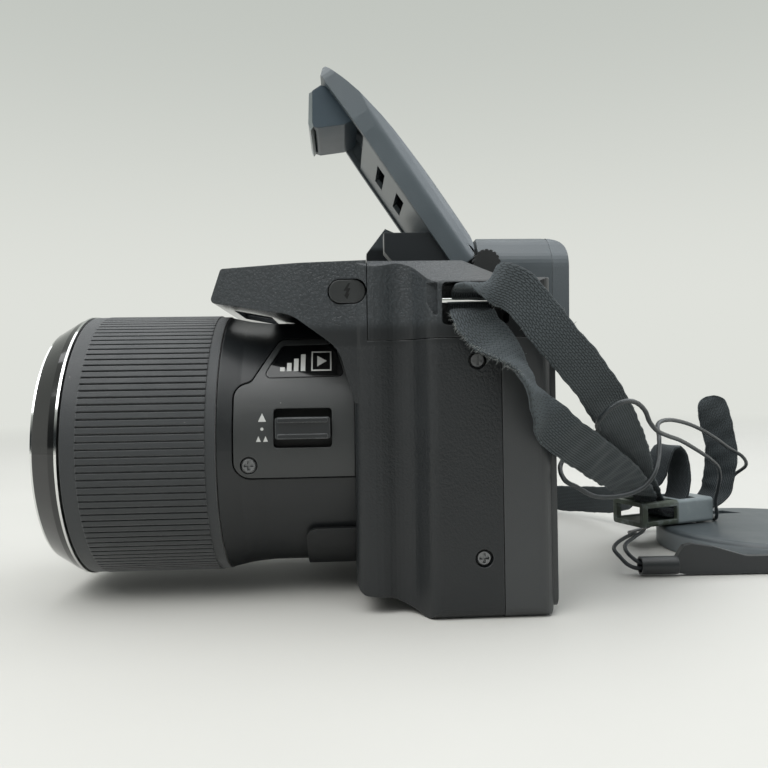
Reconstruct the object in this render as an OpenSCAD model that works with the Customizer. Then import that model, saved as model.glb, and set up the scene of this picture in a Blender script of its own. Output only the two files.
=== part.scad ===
// Bridge camera with a pop-up flash, shown raised. Millimetres.
// +Z is up and z = 0 is the plane it stands on. The lens looks along -Y, and x = 0 is the lens axis.
// The origin is the mouth of the tripod socket. The hand grip is on the -X side.

/* [Body] */
// Distance from the lens axis to the left side wall
left_x = 40; // [39:0.5:44]
// Distance from the lens axis to the outer side of the hand grip
right_x = 82.5; // [82:0.5:90]
// Rear face behind the tripod axis
rear_y = 15; // [14.5:0.5:18]
// Front face of the lens boss ahead of the tripod axis
boss_y = 25.3; // [24:0.1:28]
// Half width of the lens boss
boss_half = 34.5; // [34:0.5:37]
// Front of the hand grip ahead of the tripod axis
grip_y = 38; // [36:0.5:44]
// Height of the deck beside the flash
deck_z = 73.8; // [73:0.1:75]
// Height of the right shoulder and the grip's top
shoulder_z = 66; // [65:0.5:69]
// Height of the joint between the lower covers and the top cover
seam_z = 57; // [56:0.5:59]
// Joint between the front and rear covers, behind the tripod axis
rear_seam_y = 4.3; // [4:0.1:5]
// Wall of the moulded covers
wall = 1.8; // [1.4:0.1:2.2]
// Width of the joint lines between covers
seam = 0.16; // [0.1:0.02:0.3]
// Thickness of the grip's rubber skin
skin = 1.2; // [0.8:0.1:1.6]

/* [Hood] */
// Tip of the hood's underside ahead of the tripod axis
hood_tip = 57; // [55:0.5:60]
// Half width of the hood at its tip
hood_half = 20.5; // [19:0.5:23]
// Wall of the hood
hood_wall = 1.2; // [1:0.1:1.4]

/* [Lens] */
// Height of the lens axis
axis_z = 34.3; // [33.5:0.1:35]
// Radius of the widest front ring
ring_r = 31; // [30.5:0.1:32]
// How far the ribbed sleeve stands above the plain barrel
sleeve_rise = 2; // [1.5:0.1:2.4]
// Front lip ahead of the tripod axis
lens_front = 94; // [92:0.5:100]
// Length of the tapered front bezel
bezel_len = 6.7; // [5:0.1:8]
// How far the front lip lies inside the ring
lip_inset = 3.4; // [2.5:0.1:3.7]
// Length of the rubber sleeve
sleeve_len = 32; // [26:0.5:34]
// Number of ribs round the sleeve
rib_count = 122; // [90:1:130]
// Depth of the grooves between ribs
rib_depth = 0.5; // [0.4:0.05:0.8]
// Travel of each zoom tube
zoom_travel = 24; // [10:1:26]
// Radial gap between neighbouring zoom tubes
tube_gap = 0.4; // [0.3:0.05:0.5]
// Wall of the zoom tubes
tube_wall = 1.5; // [1.2:0.1:1.6]

/* [Zoom plate] */
// Thickness of the control plate on the barrel
plate_t = 1.2; // [0.8:0.1:1.6]
// Length of the rocker along the barrel
rocker_len = 11.6; // [9:0.1:13]
// Height of the rocker
rocker_h = 4.6; // [3.5:0.1:5]
// Travel of the rocker each way
rocker_travel = 1.5; // [1:0.1:1.6]

/* [Flash] */
// Angle from raised to closed
flash_angle = 56; // [50:1:60]
// Half width of the flash cover
flash_half = 16.5; // [16:0.1:17.5]
// Height of the closed cover's top
flash_top_z = 83; // [81.5:0.1:84]
// Wall of the flash cover
flash_wall = 1.4; // [1:0.1:1.6]
// Half width of the lamp block
lamp_half = 11; // [9:0.1:11.5]
// Hinge axis behind the tripod axis
pivot_y = 0.5; // [0:0.1:1]
// Height of the hinge axis
pivot_z = 77; // [76.8:0.1:77.5]
// Radius of the hinge pin
pin_r = 1.1; // [0.9:0.1:1.3]
// Running clearance of turning fits
run_gap = 0.06; // [0.03:0.01:0.1]

/* [Viewfinder] */
// Half width of the viewfinder housing
evf_half = 15; // [14:0.1:15.5]
// Top of the viewfinder housing
evf_top = 82.9; // [82:0.1:84]
// Rear of the eyecup behind the tripod axis
evf_rear = 26; // [25:0.5:30]
// Depth of the eyecup
eyecup_d = 4; // [3:0.1:5]
// Radius of the diopter dial
diopter_r = 3.2; // [2.6:0.1:3.4]

/* [Controls] */
// Gap round a button in its hole
button_gap = 0.25; // [0.2:0.05:0.4]
// Travel of the small buttons
press = 0.7; // [0.4:0.1:0.9]
// Travel of the shutter button
shutter_press = 1.2; // [0.8:0.1:1.4]
// Radius of the shutter button
shutter_r = 5; // [4:0.1:5.5]
// Radius of the mode dial
mode_r = 9; // [8:0.1:9.2]
// Height of the mode dial
mode_h = 6; // [4:0.1:7]
// Radius of the command dial
command_r = 6.4; // [5.5:0.1:6.6]
// Radius of the selector ring
selector_r = 10.2; // [9:0.1:10.5]
// Width of the rear screen's window
screen_w = 64; // [60:0.5:65]
// Height of the rear screen's window
screen_h = 47; // [44:0.5:48]

/* [Power] */
// Diameter of an AA cell
cell_d = 14.5; // [13.5:0.1:14.5]
// Length of an AA cell
cell_len = 50.5; // [49:0.5:50.5]
// Thickness of the battery door
door_t = 2; // [1.6:0.1:2.2]

/* [Mount] */
// Radius of the tripod socket, for a quarter inch thread
socket_r = 3.175; // [3.1:0.005:3.3]
// Depth of the tripod socket
socket_depth = 6; // [5:0.5:7]

/* [Strap] */
// Width of the webbing
strap_w = 9; // [8:0.5:11]
// Thickness of the webbing
strap_t = 1.2; // [1:0.1:1.6]
// Radius of the lens cap
cap_r = 30.5; // [29:0.5:32]
// Height of the lens cap
cap_h = 6; // [5.5:0.5:9]
// Diameter of the cap's tether
tether_d = 1; // [0.8:0.1:1.6]

/* [Hidden] */
$fn = 64;
far = 300;
arc_step = 12;
barrel_r = ring_r - sleeve_rise;

// Outlines: corners are [across, up, radius], listed counter-clockwise
function unit(v) = v / norm(v);
function left_of(v) = [-v[1], v[0]];
function turned(v, a) = [v[0] * cos(a) - v[1] * sin(a), v[0] * sin(a) + v[1] * cos(a)];
function corner_points(a, b, c, d) =
    let (
        u = unit([b[0] - a[0], b[1] - a[1]]),
        w = unit([c[0] - b[0], c[1] - b[1]]),
        n = left_of(u),
        m = left_of(w),
        bend = atan2(u[0] * w[1] - u[1] * w[0], u * w),
        tip = [b[0], b[1]] + d * (n + m) / (1 + n * m),
        r = bend > 0 ? b[2] - d : b[2] + d,
        steps = ceil(abs(bend) / arc_step),
        side = bend > 0 ? 1 : -1,
        centre = tip - u * (r * tan(abs(bend) / 2)) + n * (r * side)
    )
    b[2] == 0 || r < 0.1 || abs(bend) < 1
        ? [tip]
        : [for (i = [0:steps]) centre + turned(-n * (r * side), bend * i / steps)];
// The outline's points, moved inward by d
function outline(c, d = 0) =
    let (n = len(c))
    [for (i = [0:n - 1]) each corner_points(c[(i + n - 1) % n], c[i], c[(i + 1) % n], d)];
// The same corners on both sides of x = 0, from the right half listed upward
function both_sides(half) = concat(half,
    [for (i = [len(half) - 1:-1:0]) [-half[i][0], half[i][1], half[i][2]]]);

module along_x(x0, x1, c, d = 0) {
    translate([x0, 0, 0])
        rotate([90, 0, 90])
            linear_extrude(x1 - x0)
                polygon(outline(c, d));
}
module along_y(y0, y1, c, d = 0) {
    translate([0, y1, 0])
        rotate([90, 0, 0])
            linear_extrude(y1 - y0)
                polygon(outline(c, d));
}
module along_z(z0, z1, c, d = 0) {
    translate([0, 0, z0])
        linear_extrude(z1 - z0)
            polygon(outline(c, d));
}
module box(low, high) {
    translate(low)
        cube(high - low);
}
// Round solids along the lens axis, with z of the child pointing forward
module on_lens_axis() {
    translate([0, 0, axis_z])
        rotate([90, 0, 0])
            children();
}
module lens_tube(r_in, r_out, f0, f1) {
    on_lens_axis()
        translate([0, 0, f0])
            difference() {
                cylinder(h = f1 - f0, r = r_out, $fn = 128);
                translate([0, 0, -1])
                    cylinder(h = f1 - f0 + 2, r = r_in, $fn = 128);
            }
}
module lens_disc(r, f0, f1) {
    on_lens_axis()
        translate([0, 0, f0])
            cylinder(h = f1 - f0, r = r, $fn = 128);
}
module x_cylinder(x0, x1, y, z, r) {
    translate([x0, y, z])
        rotate([0, 90, 0])
            cylinder(h = x1 - x0, r = r);
}
module y_cylinder(y0, y1, x, z, r) {
    translate([x, y0, z])
        rotate([-90, 0, 0])
            cylinder(h = y1 - y0, r = r);
}
module z_cylinder(z0, z1, x, y, r) {
    translate([x, y, z0])
        cylinder(h = z1 - z0, r = r);
}
function rect(cx, cz, w, h, r) = [
    [cx - w / 2, cz - h / 2, r], [cx + w / 2, cz - h / 2, r],
    [cx + w / 2, cz + h / 2, r], [cx - w / 2, cz + h / 2, r]
];

// Body outlines
split_y = -22.5;
front_face_y = -16;
grip_inner_x = -44;
core_right_x = -70;
hump_right_x = -31;
foot_y = -11;
// Hollow of the left flank, between the lens boss and the side
flank_x = boss_half - 1.9;
flank_y = -14.6;
// Sloping facet between the left side and the deck
facet_w = 7.5;
facet_h = 5.4;
core_plan = [
    [-boss_half, -boss_y, 2], [boss_half - 0.9, -boss_y, 3], [boss_half + 0.3, -20.5, 7],
    [flank_x, flank_y, 4.5], [left_x, -9.8, 3], [left_x, rear_y, 3.5], [core_right_x, rear_y, 0],
    [core_right_x, front_face_y, 0], [-boss_half, front_face_y, 2]
];
core_side = [
    [-boss_y, 4, 2.5], [-18, 3.4, 4], [foot_y, 0, 5], [rear_y, 0, 2.5],
    [rear_y, deck_z, 3], [-boss_y, deck_z, 0]
];
core_front = [
    [core_right_x, 0, 0], [left_x, 0, 2.5], [left_x, deck_z - facet_h, 1.2],
    [left_x - facet_w, deck_z, 1.2],
    [hump_right_x, deck_z, 3], [hump_right_x - 7, shoulder_z, 5], [core_right_x, shoulder_z, 0]
];
module core(d = 0) {
    intersection() {
        along_z(-1, 90, core_plan, d);
        along_x(-far, far, core_side, d);
        along_y(-far, far, core_front, d);
    }
}
handle_plan = [
    [-right_x, -grip_y, 14], [grip_inner_x, -grip_y, 11], [grip_inner_x, rear_y, 0], [-right_x, rear_y, 3]
];
handle_side = [[-grip_y, 0, 3], [rear_y, 0, 2.5], [rear_y, shoulder_z, 3], [-grip_y, shoulder_z, 9]];
handle_front = [[-right_x, 0, 3], [grip_inner_x, 0, 0], [grip_inner_x, shoulder_z, 0],
    [-right_x, shoulder_z, 6]];
module handle(d = 0) {
    intersection() {
        along_z(-2, 90, handle_plan, d);
        along_x(-far, far, handle_side, d);
        along_y(-far, far, handle_front, d);
    }
}
hood_plan = both_sides([
    [hood_half, -hood_tip - 2, 5], [30.5, -37, 12], [boss_half - 0.6, -21, 0],
    [flank_x - 0.4, flank_y, 0], [flank_x - 0.4, split_y + 12, 0]
]);
hood_root_y = -12;
hood_side = [
    [-hood_tip, 66.5, 1], [-38.5, 62.9, 8], [-28.5, 55.5, 8], [-boss_y, 44, 0],
    [hood_root_y, 44, 0], [hood_root_y, deck_z, 0], [-hood_tip + 2.7, deck_z, 0.8]
];
module hood(d = 0) {
    intersection() {
        along_z(0, 90, hood_plan, d);
        along_x(-far, far, hood_side, d);
    }
}
barrel_gap = 0.3;
module barrel_space(extra) {
    lens_disc(barrel_r + extra, boss_y, 58);
    on_lens_axis()
        translate([0, 0, 46])
            cylinder(h = 16, r1 = barrel_r + extra, r2 = ring_r + extra);
}

// Regions that divide the covers
module top_region(s) {
    box([-far, split_y + s / 2, seam_z + s / 2], [far, far, far]);
    box([-far, -far, seam_z + s / 2], [grip_inner_x + 3 - s / 2, 0, far]);
}
module body_solid(d = 0) {
    core(d);
    handle(d);
    hood(d > 0 ? min(d, hood_wall) : d);
}
// The hollow inside the covers, which leaves the walls between the hood and the barrel
module body_hollow() {
    core(wall);
    handle(skin + wall);
    difference() {
        hood(hood_wall);
        barrel_space(hood_wall + barrel_gap);
    }
}

// Lug pockets, one in each side
lug_z = 64.7;
lug_r = 0.75;
pocket_y0 = -7.6;
pocket_y1 = 6;
pocket_depth = 5.5;
lug_inset = 2;
module lug_bars(g) {
    y_cylinder(pocket_y0 - 0.9 - g, pocket_y1 + 0.9 + g, left_x - lug_inset, lug_z, lug_r + g);
    y_cylinder(pocket_y0 - 0.9 - g, pocket_y1 + 0.9 + g, -right_x + lug_inset, seam_z + 3, lug_r + g);
}
module left_pocket(g) {
    along_x(left_x - pocket_depth - g, left_x + 5, [
        [pocket_y0 - g, 59.6 - g, 1], [pocket_y1 + g, 59.6 - g, 1],
        [pocket_y1 + g, 68.2 + g, 1], [pocket_y0 - g, 68.2 + g, 1]
    ]);
}
module right_pocket(g) {
    along_x(-right_x - 5, -right_x + pocket_depth + g, [
        [pocket_y0 - g, seam_z - 1, 0], [pocket_y1 + g, seam_z - 1, 0],
        [pocket_y1 + g, seam_z + 6.5 + g, 1], [pocket_y0 - g, seam_z + 6.5 + g, 1]
    ]);
}

// Case screws: two on the left side, three in the base, one in the zoom plate
screw_head_r = 1.6;
screw_head_h = 1.1;
screw_shank_r = 0.8;
screw_len = 5;
screw_bevel = 0.3;
cross_len = 2;
cross_w = 0.55;
side_screws = [[-0.6, 52.4], [0.2, 12.4]];
base_screws = [[30, -3], [-30, -3], [20, 10]];
plate_screw_y = -47.9;
plate_screw_z = 31.1;
plate_screw_len = 2.4;
module screw(length = screw_len) {
    difference() {
        union() {
            translate([0, 0, -screw_head_h])
                cylinder(h = screw_head_h - screw_bevel, r = screw_head_r, $fn = 32);
            translate([0, 0, -screw_bevel - 0.01])
                cylinder(h = screw_bevel, r1 = screw_head_r, r2 = screw_head_r - screw_bevel, $fn = 32);
            translate([0, 0, -length])
                cylinder(h = length - screw_head_h / 2, r = screw_shank_r, $fn = 24);
        }
        for (a = [0, 90])
            rotate([0, 0, a])
                translate([-cross_len / 2, -cross_w / 2, -0.7])
                    cube([cross_len, cross_w, 1]);
    }
}
module screw_space() {
    translate([0, 0, -screw_head_h - 0.05])
        cylinder(h = 4, r = screw_head_r + 0.25, $fn = 32);
    translate([0, 0, -screw_len - 1])
        cylinder(h = screw_len + 1, r = screw_shank_r + 0.1, $fn = 24);
}
module at_side_screws() {
    for (p = side_screws)
        translate([left_x - 0.4, p[0], p[1]])
            rotate([0, 90, 0])
                children();
}
module at_base_screws() {
    for (p = base_screws)
        translate([p[0], p[1], 0.5])
            rotate([180, 0, 0])
                children();
}

// Tripod socket
socket_boss_r = 6.5;
socket_top = socket_depth + 1.2;
module socket_space() {
    z_cylinder(-1, 20, 0, 0, socket_boss_r + 0.1);
}

// Battery bay
bay_x = -63;
bay_y = -13.6;
cell_pitch = cell_d + 0.2;
bay_inner = 2 * cell_pitch + 0.4;
bay_wall = 1;
bay_half = bay_inner / 2 + bay_wall;
door_bottom = 0.3;
door_gap = 0.4;
door_hinge_x = -47.4;
door_hinge_z = 1.7;
door_x0 = bay_x - bay_half - 0.2;
door_y0 = bay_y - bay_half + 0.4;
door_y1 = 3.4;
hinge_pin_r = 0.6;
knuckle_r = 1.25;
cell_z = door_bottom + door_t + 1.2;
module door_space() {
    box(
        [door_x0 - door_gap, door_y0 - door_gap, -1],
        [door_hinge_x + knuckle_r + 2 * door_gap, door_y1 + door_gap, 4.5]
    );
}
module door_pin_space(g) {
    y_cylinder(door_y0 - door_gap - 1.2, door_y1 + door_gap + 0.3, door_hinge_x, door_hinge_z,
        hinge_pin_r + g);
}

// Terminal door in the right side of the rear cover
terminal_y0 = 6;
terminal_y1 = rear_y - 2.4;
terminal_z0 = 22;
terminal_z1 = 46;
terminal_t = 1.4;
terminal_hinge_y = terminal_y0 + 0.9;
terminal_hinge_x = -right_x + 0.8;
module terminal_space() {
    box([-right_x - 2, terminal_y0 - 0.35, terminal_z0 - 0.35],
        [-right_x + 4, terminal_y1 + 0.35, terminal_z1 + 0.35]);
    box([terminal_hinge_x - 0.45, terminal_hinge_y - 0.45, terminal_z0 - 2.05],
        [-right_x + 4, terminal_hinge_y + 0.45, terminal_z1 + 2.05]);
}

// Controls
shutter_x = -63;
shutter_y = -20.5;
shutter_top = shoulder_z + 2.2 + shutter_press;
lever_r = 8.2;
mode_x = -53.5;
mode_y = 1.5;
command_x = -73;
command_y = 5.6;
dial_shaft_r = 2;
dial_lift = 0.4;
switch_x = -71;
switch_y = -5.4;
switch_w = 7;
switch_d = 3;
switch_travel = 3;
playback_x = -40;
playback_z = 47;
playback_r = 3;
movie_x = -40;
movie_z = 38;
movie_r = 2.6;
selector_x = -57;
selector_z = 22;
ok_r = 4.2;
screen_x = 3.2;
screen_z = 29.5;
flash_button_y = -26.6;
flash_button_z = 67.4;
flash_button_w = 7.6;
flash_button_h = 4.8;
flash_button_x = 33.2;

// Flash: everything is drawn closed and turned up about its hinge
lip_z = deck_z + 0.4;
flash_rear = 2;
flash_tip = 55.2;
leg_in = 9.8;
leg_out = 14.6;
leg_front_y = -17.6;
leg_top_z = 83.2;
far_leg_front_y = -20.9;
far_leg_top_z = 89;
leg_low_z = 72.8;
hub_r = 2.6;
lug_in = 4.6;
lug_out = 9.2;
well_half = leg_out + 0.9;
well_front = -21.6;
well_rear = 2.6;
well_floor = 57.8;
plate_y0 = -36.4;
plate_y1 = -6;
inner_plate_z = lip_z + 0.5;
inner_plate_t = 1.2;
module raised() {
    translate([0, pivot_y, pivot_z])
        rotate([-flash_angle, 0, 0])
            translate([0, -pivot_y, -pivot_z])
                children();
}
flash_side = [
    [-flash_tip + 2, lip_z, 0], [flash_rear, lip_z, 1], [flash_rear, 79.6, 2.5],
    [-1.5, flash_top_z - 0.5, 8],
    [-16, flash_top_z, 20], [-36, flash_top_z - 1.7, 30], [-49, 78.4, 16], [-flash_tip, 76.4, 0.6]
];
flash_front = both_sides([
    [flash_half, lip_z - 2, 0], [flash_half, 78.4, 2.5], [12, flash_top_z, 7]
]);
flash_plan = both_sides([[14, -flash_tip - 1, 5], [flash_half, -38, 30], [flash_half, 20, 0]]);
module flash_shape(d = 0) {
    intersection() {
        along_x(-far, far, flash_side, d);
        along_y(-far, far, flash_front, d);
        along_z(60, 100, flash_plan, d);
    }
}
lamp_side = [
    [-46.4, 67, 0], [-45.3, 66.6, 0], [-44.4, 67.3, 0], [-41.6, 73, 0], [-41.2, lip_z + 2.2, 0],
    [-50.2, lip_z + 1.4, 0], [-52.4, 73.6, 0], [-52.4, 71.2, 0]
];
window_side = [
    [-52.4, 70.2, 0], [-46.6, 66, 0], [-45, 65.6, 0], [-45.3, 66.6, 0], [-46.4, 67, 0], [-52.4, 71.2, 0]
];
lamp_hollow = [[-51, 60, 0], [-46.6, 60, 0], [-44.2, 70, 0], [-44.2, 72.5, 0], [-51, 72.5, 0]];

// Viewfinder
evf_front = 4.6;
evf_floor = 60.5;
evf_axis_z = 71;
evf_bore = 7.1;
evf_wall = 1.5;
eyepiece_front = evf_rear - eyecup_d;
evf_side = [[evf_front, evf_floor, 0], [eyepiece_front, evf_floor, 1.5], [eyepiece_front, evf_top, 1.5],
    [evf_front, evf_top, 1]];
evf_face = both_sides([
    [evf_half - 0.6, evf_floor, 2.5], [evf_half, evf_top - 6, 5], [evf_half - 5, evf_top, 6]
]);
diopter_y = 5.9;
diopter_z = 75.5;
diopter_x0 = evf_half + 0.25;
diopter_w = 2.6;
shoulder_drop_z = 69.2;
module evf_shape(y0, y1, d = 0) {
    along_y(y0, y1, evf_face, d);
}

// Covers
module cover_cuts() {
    lens_disc(lens_bore_r, boss_y - 12, boss_y + 1);
    at_side_screws()
        screw_space();
    at_base_screws()
        screw_space();
    socket_space();
    left_pocket(0);
    right_pocket(0);
}
module side_recess() {
    along_x(left_x - 1.3, left_x + 5, [
        [-13, 67.4, 0.3], [-11.2, 65.4, 1], [-9.2, 61.6, 0.3], [pocket_y0 - 0.9, 61.6, 0.2],
        [pocket_y0 - 0.9, deck_z - facet_h - 0.3, 0.3], [-13, deck_z - facet_h - 0.2, 0.3]
    ]);
}
module shoulder_drop(g = 0) {
    along_x(evf_half + 0.1, left_x + 5, [
        [-2.4, deck_z - g, 0], [5.5, shoulder_drop_z - g, 2], [rear_y + 5, shoulder_drop_z - g, 0],
        [rear_y + 5, 90, 0], [-2.4, 90, 0]
    ]);
}

module front_cover() {
    color("#26282a")
        difference() {
            intersection() {
                body_solid();
                difference() {
                    box([-far, -far, -1], [far, rear_seam_y - seam / 2, 90]);
                    top_region(-seam);
                }
            }
            body_hollow();
            barrel_space(barrel_gap);
            cover_cuts();
            door_space();
            door_pin_space(0.01);
            plate_seat(0.3);
            grip_skin(0.1);
            // Well for the lamp block
            along_z(64, 90, both_sides([[lamp_half + 0.8, -53, 1], [lamp_half + 0.8, -36, 1]]));
            flash_button_shape(flash_button_x - 14, flash_button_x + 5, button_gap);
        }
}
module top_cover() {
    color("#2a2c2e")
        difference() {
            union() {
                intersection() {
                    difference() {
                        union() {
                            core();
                            handle();
                        }
                        core(wall);
                        handle(skin + wall);
                    }
                    top_region(seam);
                }
                // Tray that holds the flash's legs when it is closed, with its hinge lugs
                difference() {
                    box([-well_half - 1, split_y + seam, well_floor - 1],
                        [well_half + 1, well_rear + 1, deck_z - 1]);
                    box([-well_half, well_front, well_floor], [well_half, well_rear, 90]);
                }
                hinge_lugs();
                // Walls of the left lug pocket, and the floor of the drop beside the viewfinder
                intersection() {
                    union() {
                        difference() {
                            left_pocket(1.2);
                            left_pocket(0);
                        }
                        difference() {
                            shoulder_drop(wall);
                            shoulder_drop();
                        }
                    }
                    core();
                    top_region(seam);
                }
            }
            difference() {
                box([-well_half, well_front, well_floor], [well_half, well_rear, 90]);
                hinge_lugs();
            }
            evf_shape(evf_front - 0.1, rear_y + 5, -0.1);
            shoulder_drop();
            side_recess();
            left_pocket(0);
            right_pocket(0);
            lug_bars(0.01);
            x_cylinder(-lug_out - 1, lug_out + 1, pivot_y, pivot_z, pin_r);
            z_cylinder(seam_z, 90, shutter_x, shutter_y, shutter_r + button_gap);
            for (p = [[mode_x, mode_y], [command_x, command_y]])
                z_cylinder(seam_z, 90, p[0], p[1], dial_shaft_r + run_gap);
            box([switch_x - switch_w / 2 - 1, switch_y - 1, seam_z],
                [switch_x + switch_w / 2 - 2 + switch_travel, switch_y + 1, 90]);
        }
}
module hinge_lugs() {
    for (x = [-lug_out, lug_in])
        along_x(x, x + lug_out - lug_in, [
            [pivot_y - 2, well_floor, 0], [pivot_y + 2, well_floor, 0],
            [pivot_y + 2, pivot_z + 2, 1.9], [pivot_y - 2, pivot_z + 2, 1.9]
        ]);
}
module rear_cover() {
    color("#232527")
        difference() {
            union() {
                intersection() {
                    difference() {
                        union() {
                            core();
                            handle();
                        }
                        core(wall);
                        handle(skin + wall);
                    }
                    difference() {
                        box([-far, rear_seam_y + seam / 2, -1], [far, far, 90]);
                        top_region(-seam);
                    }
                }
                // Raised frame round the screen and the thumb rest
                along_y(rear_y - 1, rear_y + 0.9,
                    rect(screen_x, screen_z - 1.1, screen_w + 5, screen_h + 7.2, 2.5));
                along_y(rear_y - 1, rear_y + 1.6, rect(-66, 46, 18, 17, 6));
            }
            along_y(0, rear_y + 1.2, rect(screen_x, screen_z, screen_w - 3, screen_h - 3, 1));
            along_y(rear_y + 0.1, rear_y + 5,
                rect(screen_x, screen_z, screen_w + 0.3, screen_h + 0.3, 1.5));
            at_base_screws()
                screw_space();
            socket_space();
            door_space();
            terminal_space();
            y_cylinder(0, far, playback_x, playback_z, playback_r + button_gap);
            y_cylinder(0, far, movie_x, movie_z, movie_r + button_gap);
            y_cylinder(0, far, selector_x, selector_z, selector_r + button_gap);
        }
}
grip_y1 = -4;
grip_z0 = 5;
module grip_skin(g) {
    intersection() {
        difference() {
            handle(-1);
            handle(skin + 0.02);
        }
        box([-far, -far, grip_z0 - g], [grip_inner_x + 1, grip_y1 + g, seam_z - 0.6 + g]);
    }
}
module grip_rubber() {
    color("#1d1e1f")
        difference() {
            intersection() {
                difference() {
                    handle();
                    handle(skin);
                }
                box([-far, -far, grip_z0], [grip_inner_x + 1, grip_y1, seam_z - 0.6]);
            }
            core(-0.05);
        }
}
module battery_door() {
    color("#232527")
        difference() {
            union() {
                box([door_x0, door_y0, door_bottom], [door_hinge_x, door_y1, door_bottom + door_t]);
                y_cylinder(door_y0 + 3, door_y1 - 3, door_hinge_x, door_hinge_z, knuckle_r);
            }
            y_cylinder(door_y0 - 1, door_y1 + 1, door_hinge_x, door_hinge_z, hinge_pin_r + run_gap);
            // Finger grooves of the sliding catch
            for (i = [0:4])
                box([door_x0 + 4 + 2 * i, bay_y - 6, door_bottom - 1],
                    [door_x0 + 5 + 2 * i, bay_y + 6, door_bottom + 0.5]);
        }
}
module battery_door_pin() {
    color("#9a9c9e")
        door_pin_space(0);
}
module terminal_door() {
    color("#232527")
        difference() {
            union() {
                box([-right_x, terminal_y0 + 0.9, terminal_z0],
                    [-right_x + terminal_t, terminal_y1, terminal_z1]);
                z_cylinder(terminal_z0, terminal_z1, terminal_hinge_x, terminal_hinge_y, 0.8);
            }
            z_cylinder(terminal_z0 - 1, terminal_z1 + 1, terminal_hinge_x, terminal_hinge_y, 0.4 + run_gap);
        }
}
module terminal_block() {
    color("#8a8d90")
        difference() {
            union() {
                box([-right_x + 2.2, terminal_y0 + 0.6, terminal_z0 + 1],
                    [-right_x + 9, terminal_y1 - 0.6, terminal_z1 - 1]);
                // Pin that the terminal door turns on
                z_cylinder(terminal_z0 - 2, terminal_z1 + 2, terminal_hinge_x, terminal_hinge_y, 0.4);
                for (z = [terminal_z0 - 2, terminal_z1 + 0.6])
                    box([terminal_hinge_x - 0.4, terminal_hinge_y - 0.4, z],
                        [-right_x + 3, terminal_hinge_y + 0.4, z + 1.4]);
            }
            for (z = [terminal_z0 + 7, terminal_z1 - 7])
                box([-right_x, terminal_y0 + 2, z - 3.6], [-right_x + 6, terminal_y1 - 2, z + 3.6]);
        }
}
module tripod_socket() {
    color("#b4b4b2")
        difference() {
            z_cylinder(0, socket_top, 0, 0, socket_boss_r);
            z_cylinder(-1, socket_depth, 0, 0, socket_r);
        }
}
module strap_lugs() {
    color("#d8d2c8")
        lug_bars(0);
}

// Lens
bezel_f = lens_front - bezel_len;
sleeve_f1 = bezel_f - 0.5;
sleeve_f0 = sleeve_f1 - sleeve_len;
lip_r = ring_r - lip_inset;
sleeve_seat_r = barrel_r + 0.4;
bright_t = 0.5;
chassis_r = barrel_r - 1.6;
chassis_in = chassis_r - 1.3;
tube2_r = chassis_in - tube_gap;
tube2_in = tube2_r - tube_wall;
tube1_r = tube2_in - tube_gap;
tube1_in = tube1_r - tube_wall;
lens_bore_r = chassis_r + 0.5;
chassis_rear_f = 6;
plate_f = 2.2;
tube_rear_f = bezel_f - 2 * zoom_travel - 1.3;
module lens_barrel() {
    color("#202224")
        difference() {
            on_lens_axis()
                rotate_extrude($fn = 128)
                    polygon([
                        [chassis_r + 0.15, boss_y], [barrel_r, boss_y], [barrel_r, sleeve_f0 - 10],
                        [barrel_r + 0.5, sleeve_f0 - 5], [ring_r - 0.5, sleeve_f0 - 0.3],
                        [sleeve_seat_r - 0.15, sleeve_f0 - 0.3],
                        [sleeve_seat_r - 0.15, bezel_f], [chassis_r + 0.15, bezel_f]
                    ]);
            rocker_space();
            plate_seat(0.15);
            plate_groove();
            translate([barrel_r + plate_t * 0.9, plate_screw_y, plate_screw_z])
                rotate([0, 90, 0])
                    screw_space();
        }
    // Raised pad low on the barrel, against the body
    color("#202224")
        intersection() {
            lens_tube(barrel_r - 0.05, barrel_r + 1.1, boss_y, boss_y + 11);
            along_x(0, far,
                [[-boss_y - 11, 3, 0], [-boss_y, 3, 0], [-boss_y, 16.3, 0], [-boss_y - 11, 16.3, 2.5]]);
        }
}
rib_front = 3.2;
rib_rear = 2.2;
module lens_sleeve() {
    color("#1c1d1e")
        difference() {
            union() {
                on_lens_axis()
                    translate([0, 0, sleeve_f0 + rib_rear])
                        linear_extrude(sleeve_len - rib_rear - rib_front)
                            polygon([
                                for (i = [0:rib_count - 1])
                                    for (k = [0:3])
                                        let (
                                            a = (i + [-0.42, -0.36, 0.36, 0.42][k]) * 360 / rib_count,
                                            r = k == 0 || k == 3 ? ring_r - rib_depth : ring_r
                                        )
                                        [r * cos(a), r * sin(a)]
                            ]);
                lens_disc(ring_r - 0.25, sleeve_f0, sleeve_f0 + rib_rear + 0.01);
                lens_disc(ring_r - 0.1, sleeve_f1 - rib_front - 0.01, sleeve_f1);
            }
            lens_disc(sleeve_seat_r, sleeve_f0 - 1, sleeve_f1 + 1);
        }
}
module lens_bezel() {
    color("#0c0d0e")
        on_lens_axis()
            rotate_extrude($fn = 128)
                polygon([
                    [chassis_in, bezel_f + bright_t], [ring_r - 0.1, bezel_f + bright_t],
                    [ring_r - 0.6, bezel_f + 2], [lip_r + 0.3, lens_front - bright_t],
                    [chassis_in, lens_front - bright_t]
                ]);
}
module lens_bright_rings() {
    color("#d9dbdc") {
        lens_tube(sleeve_seat_r - 2, ring_r + 0.1, bezel_f, bezel_f + bright_t);
        lens_tube(chassis_in + 0.4, lip_r, lens_front - bright_t, lens_front);
    }
}
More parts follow.
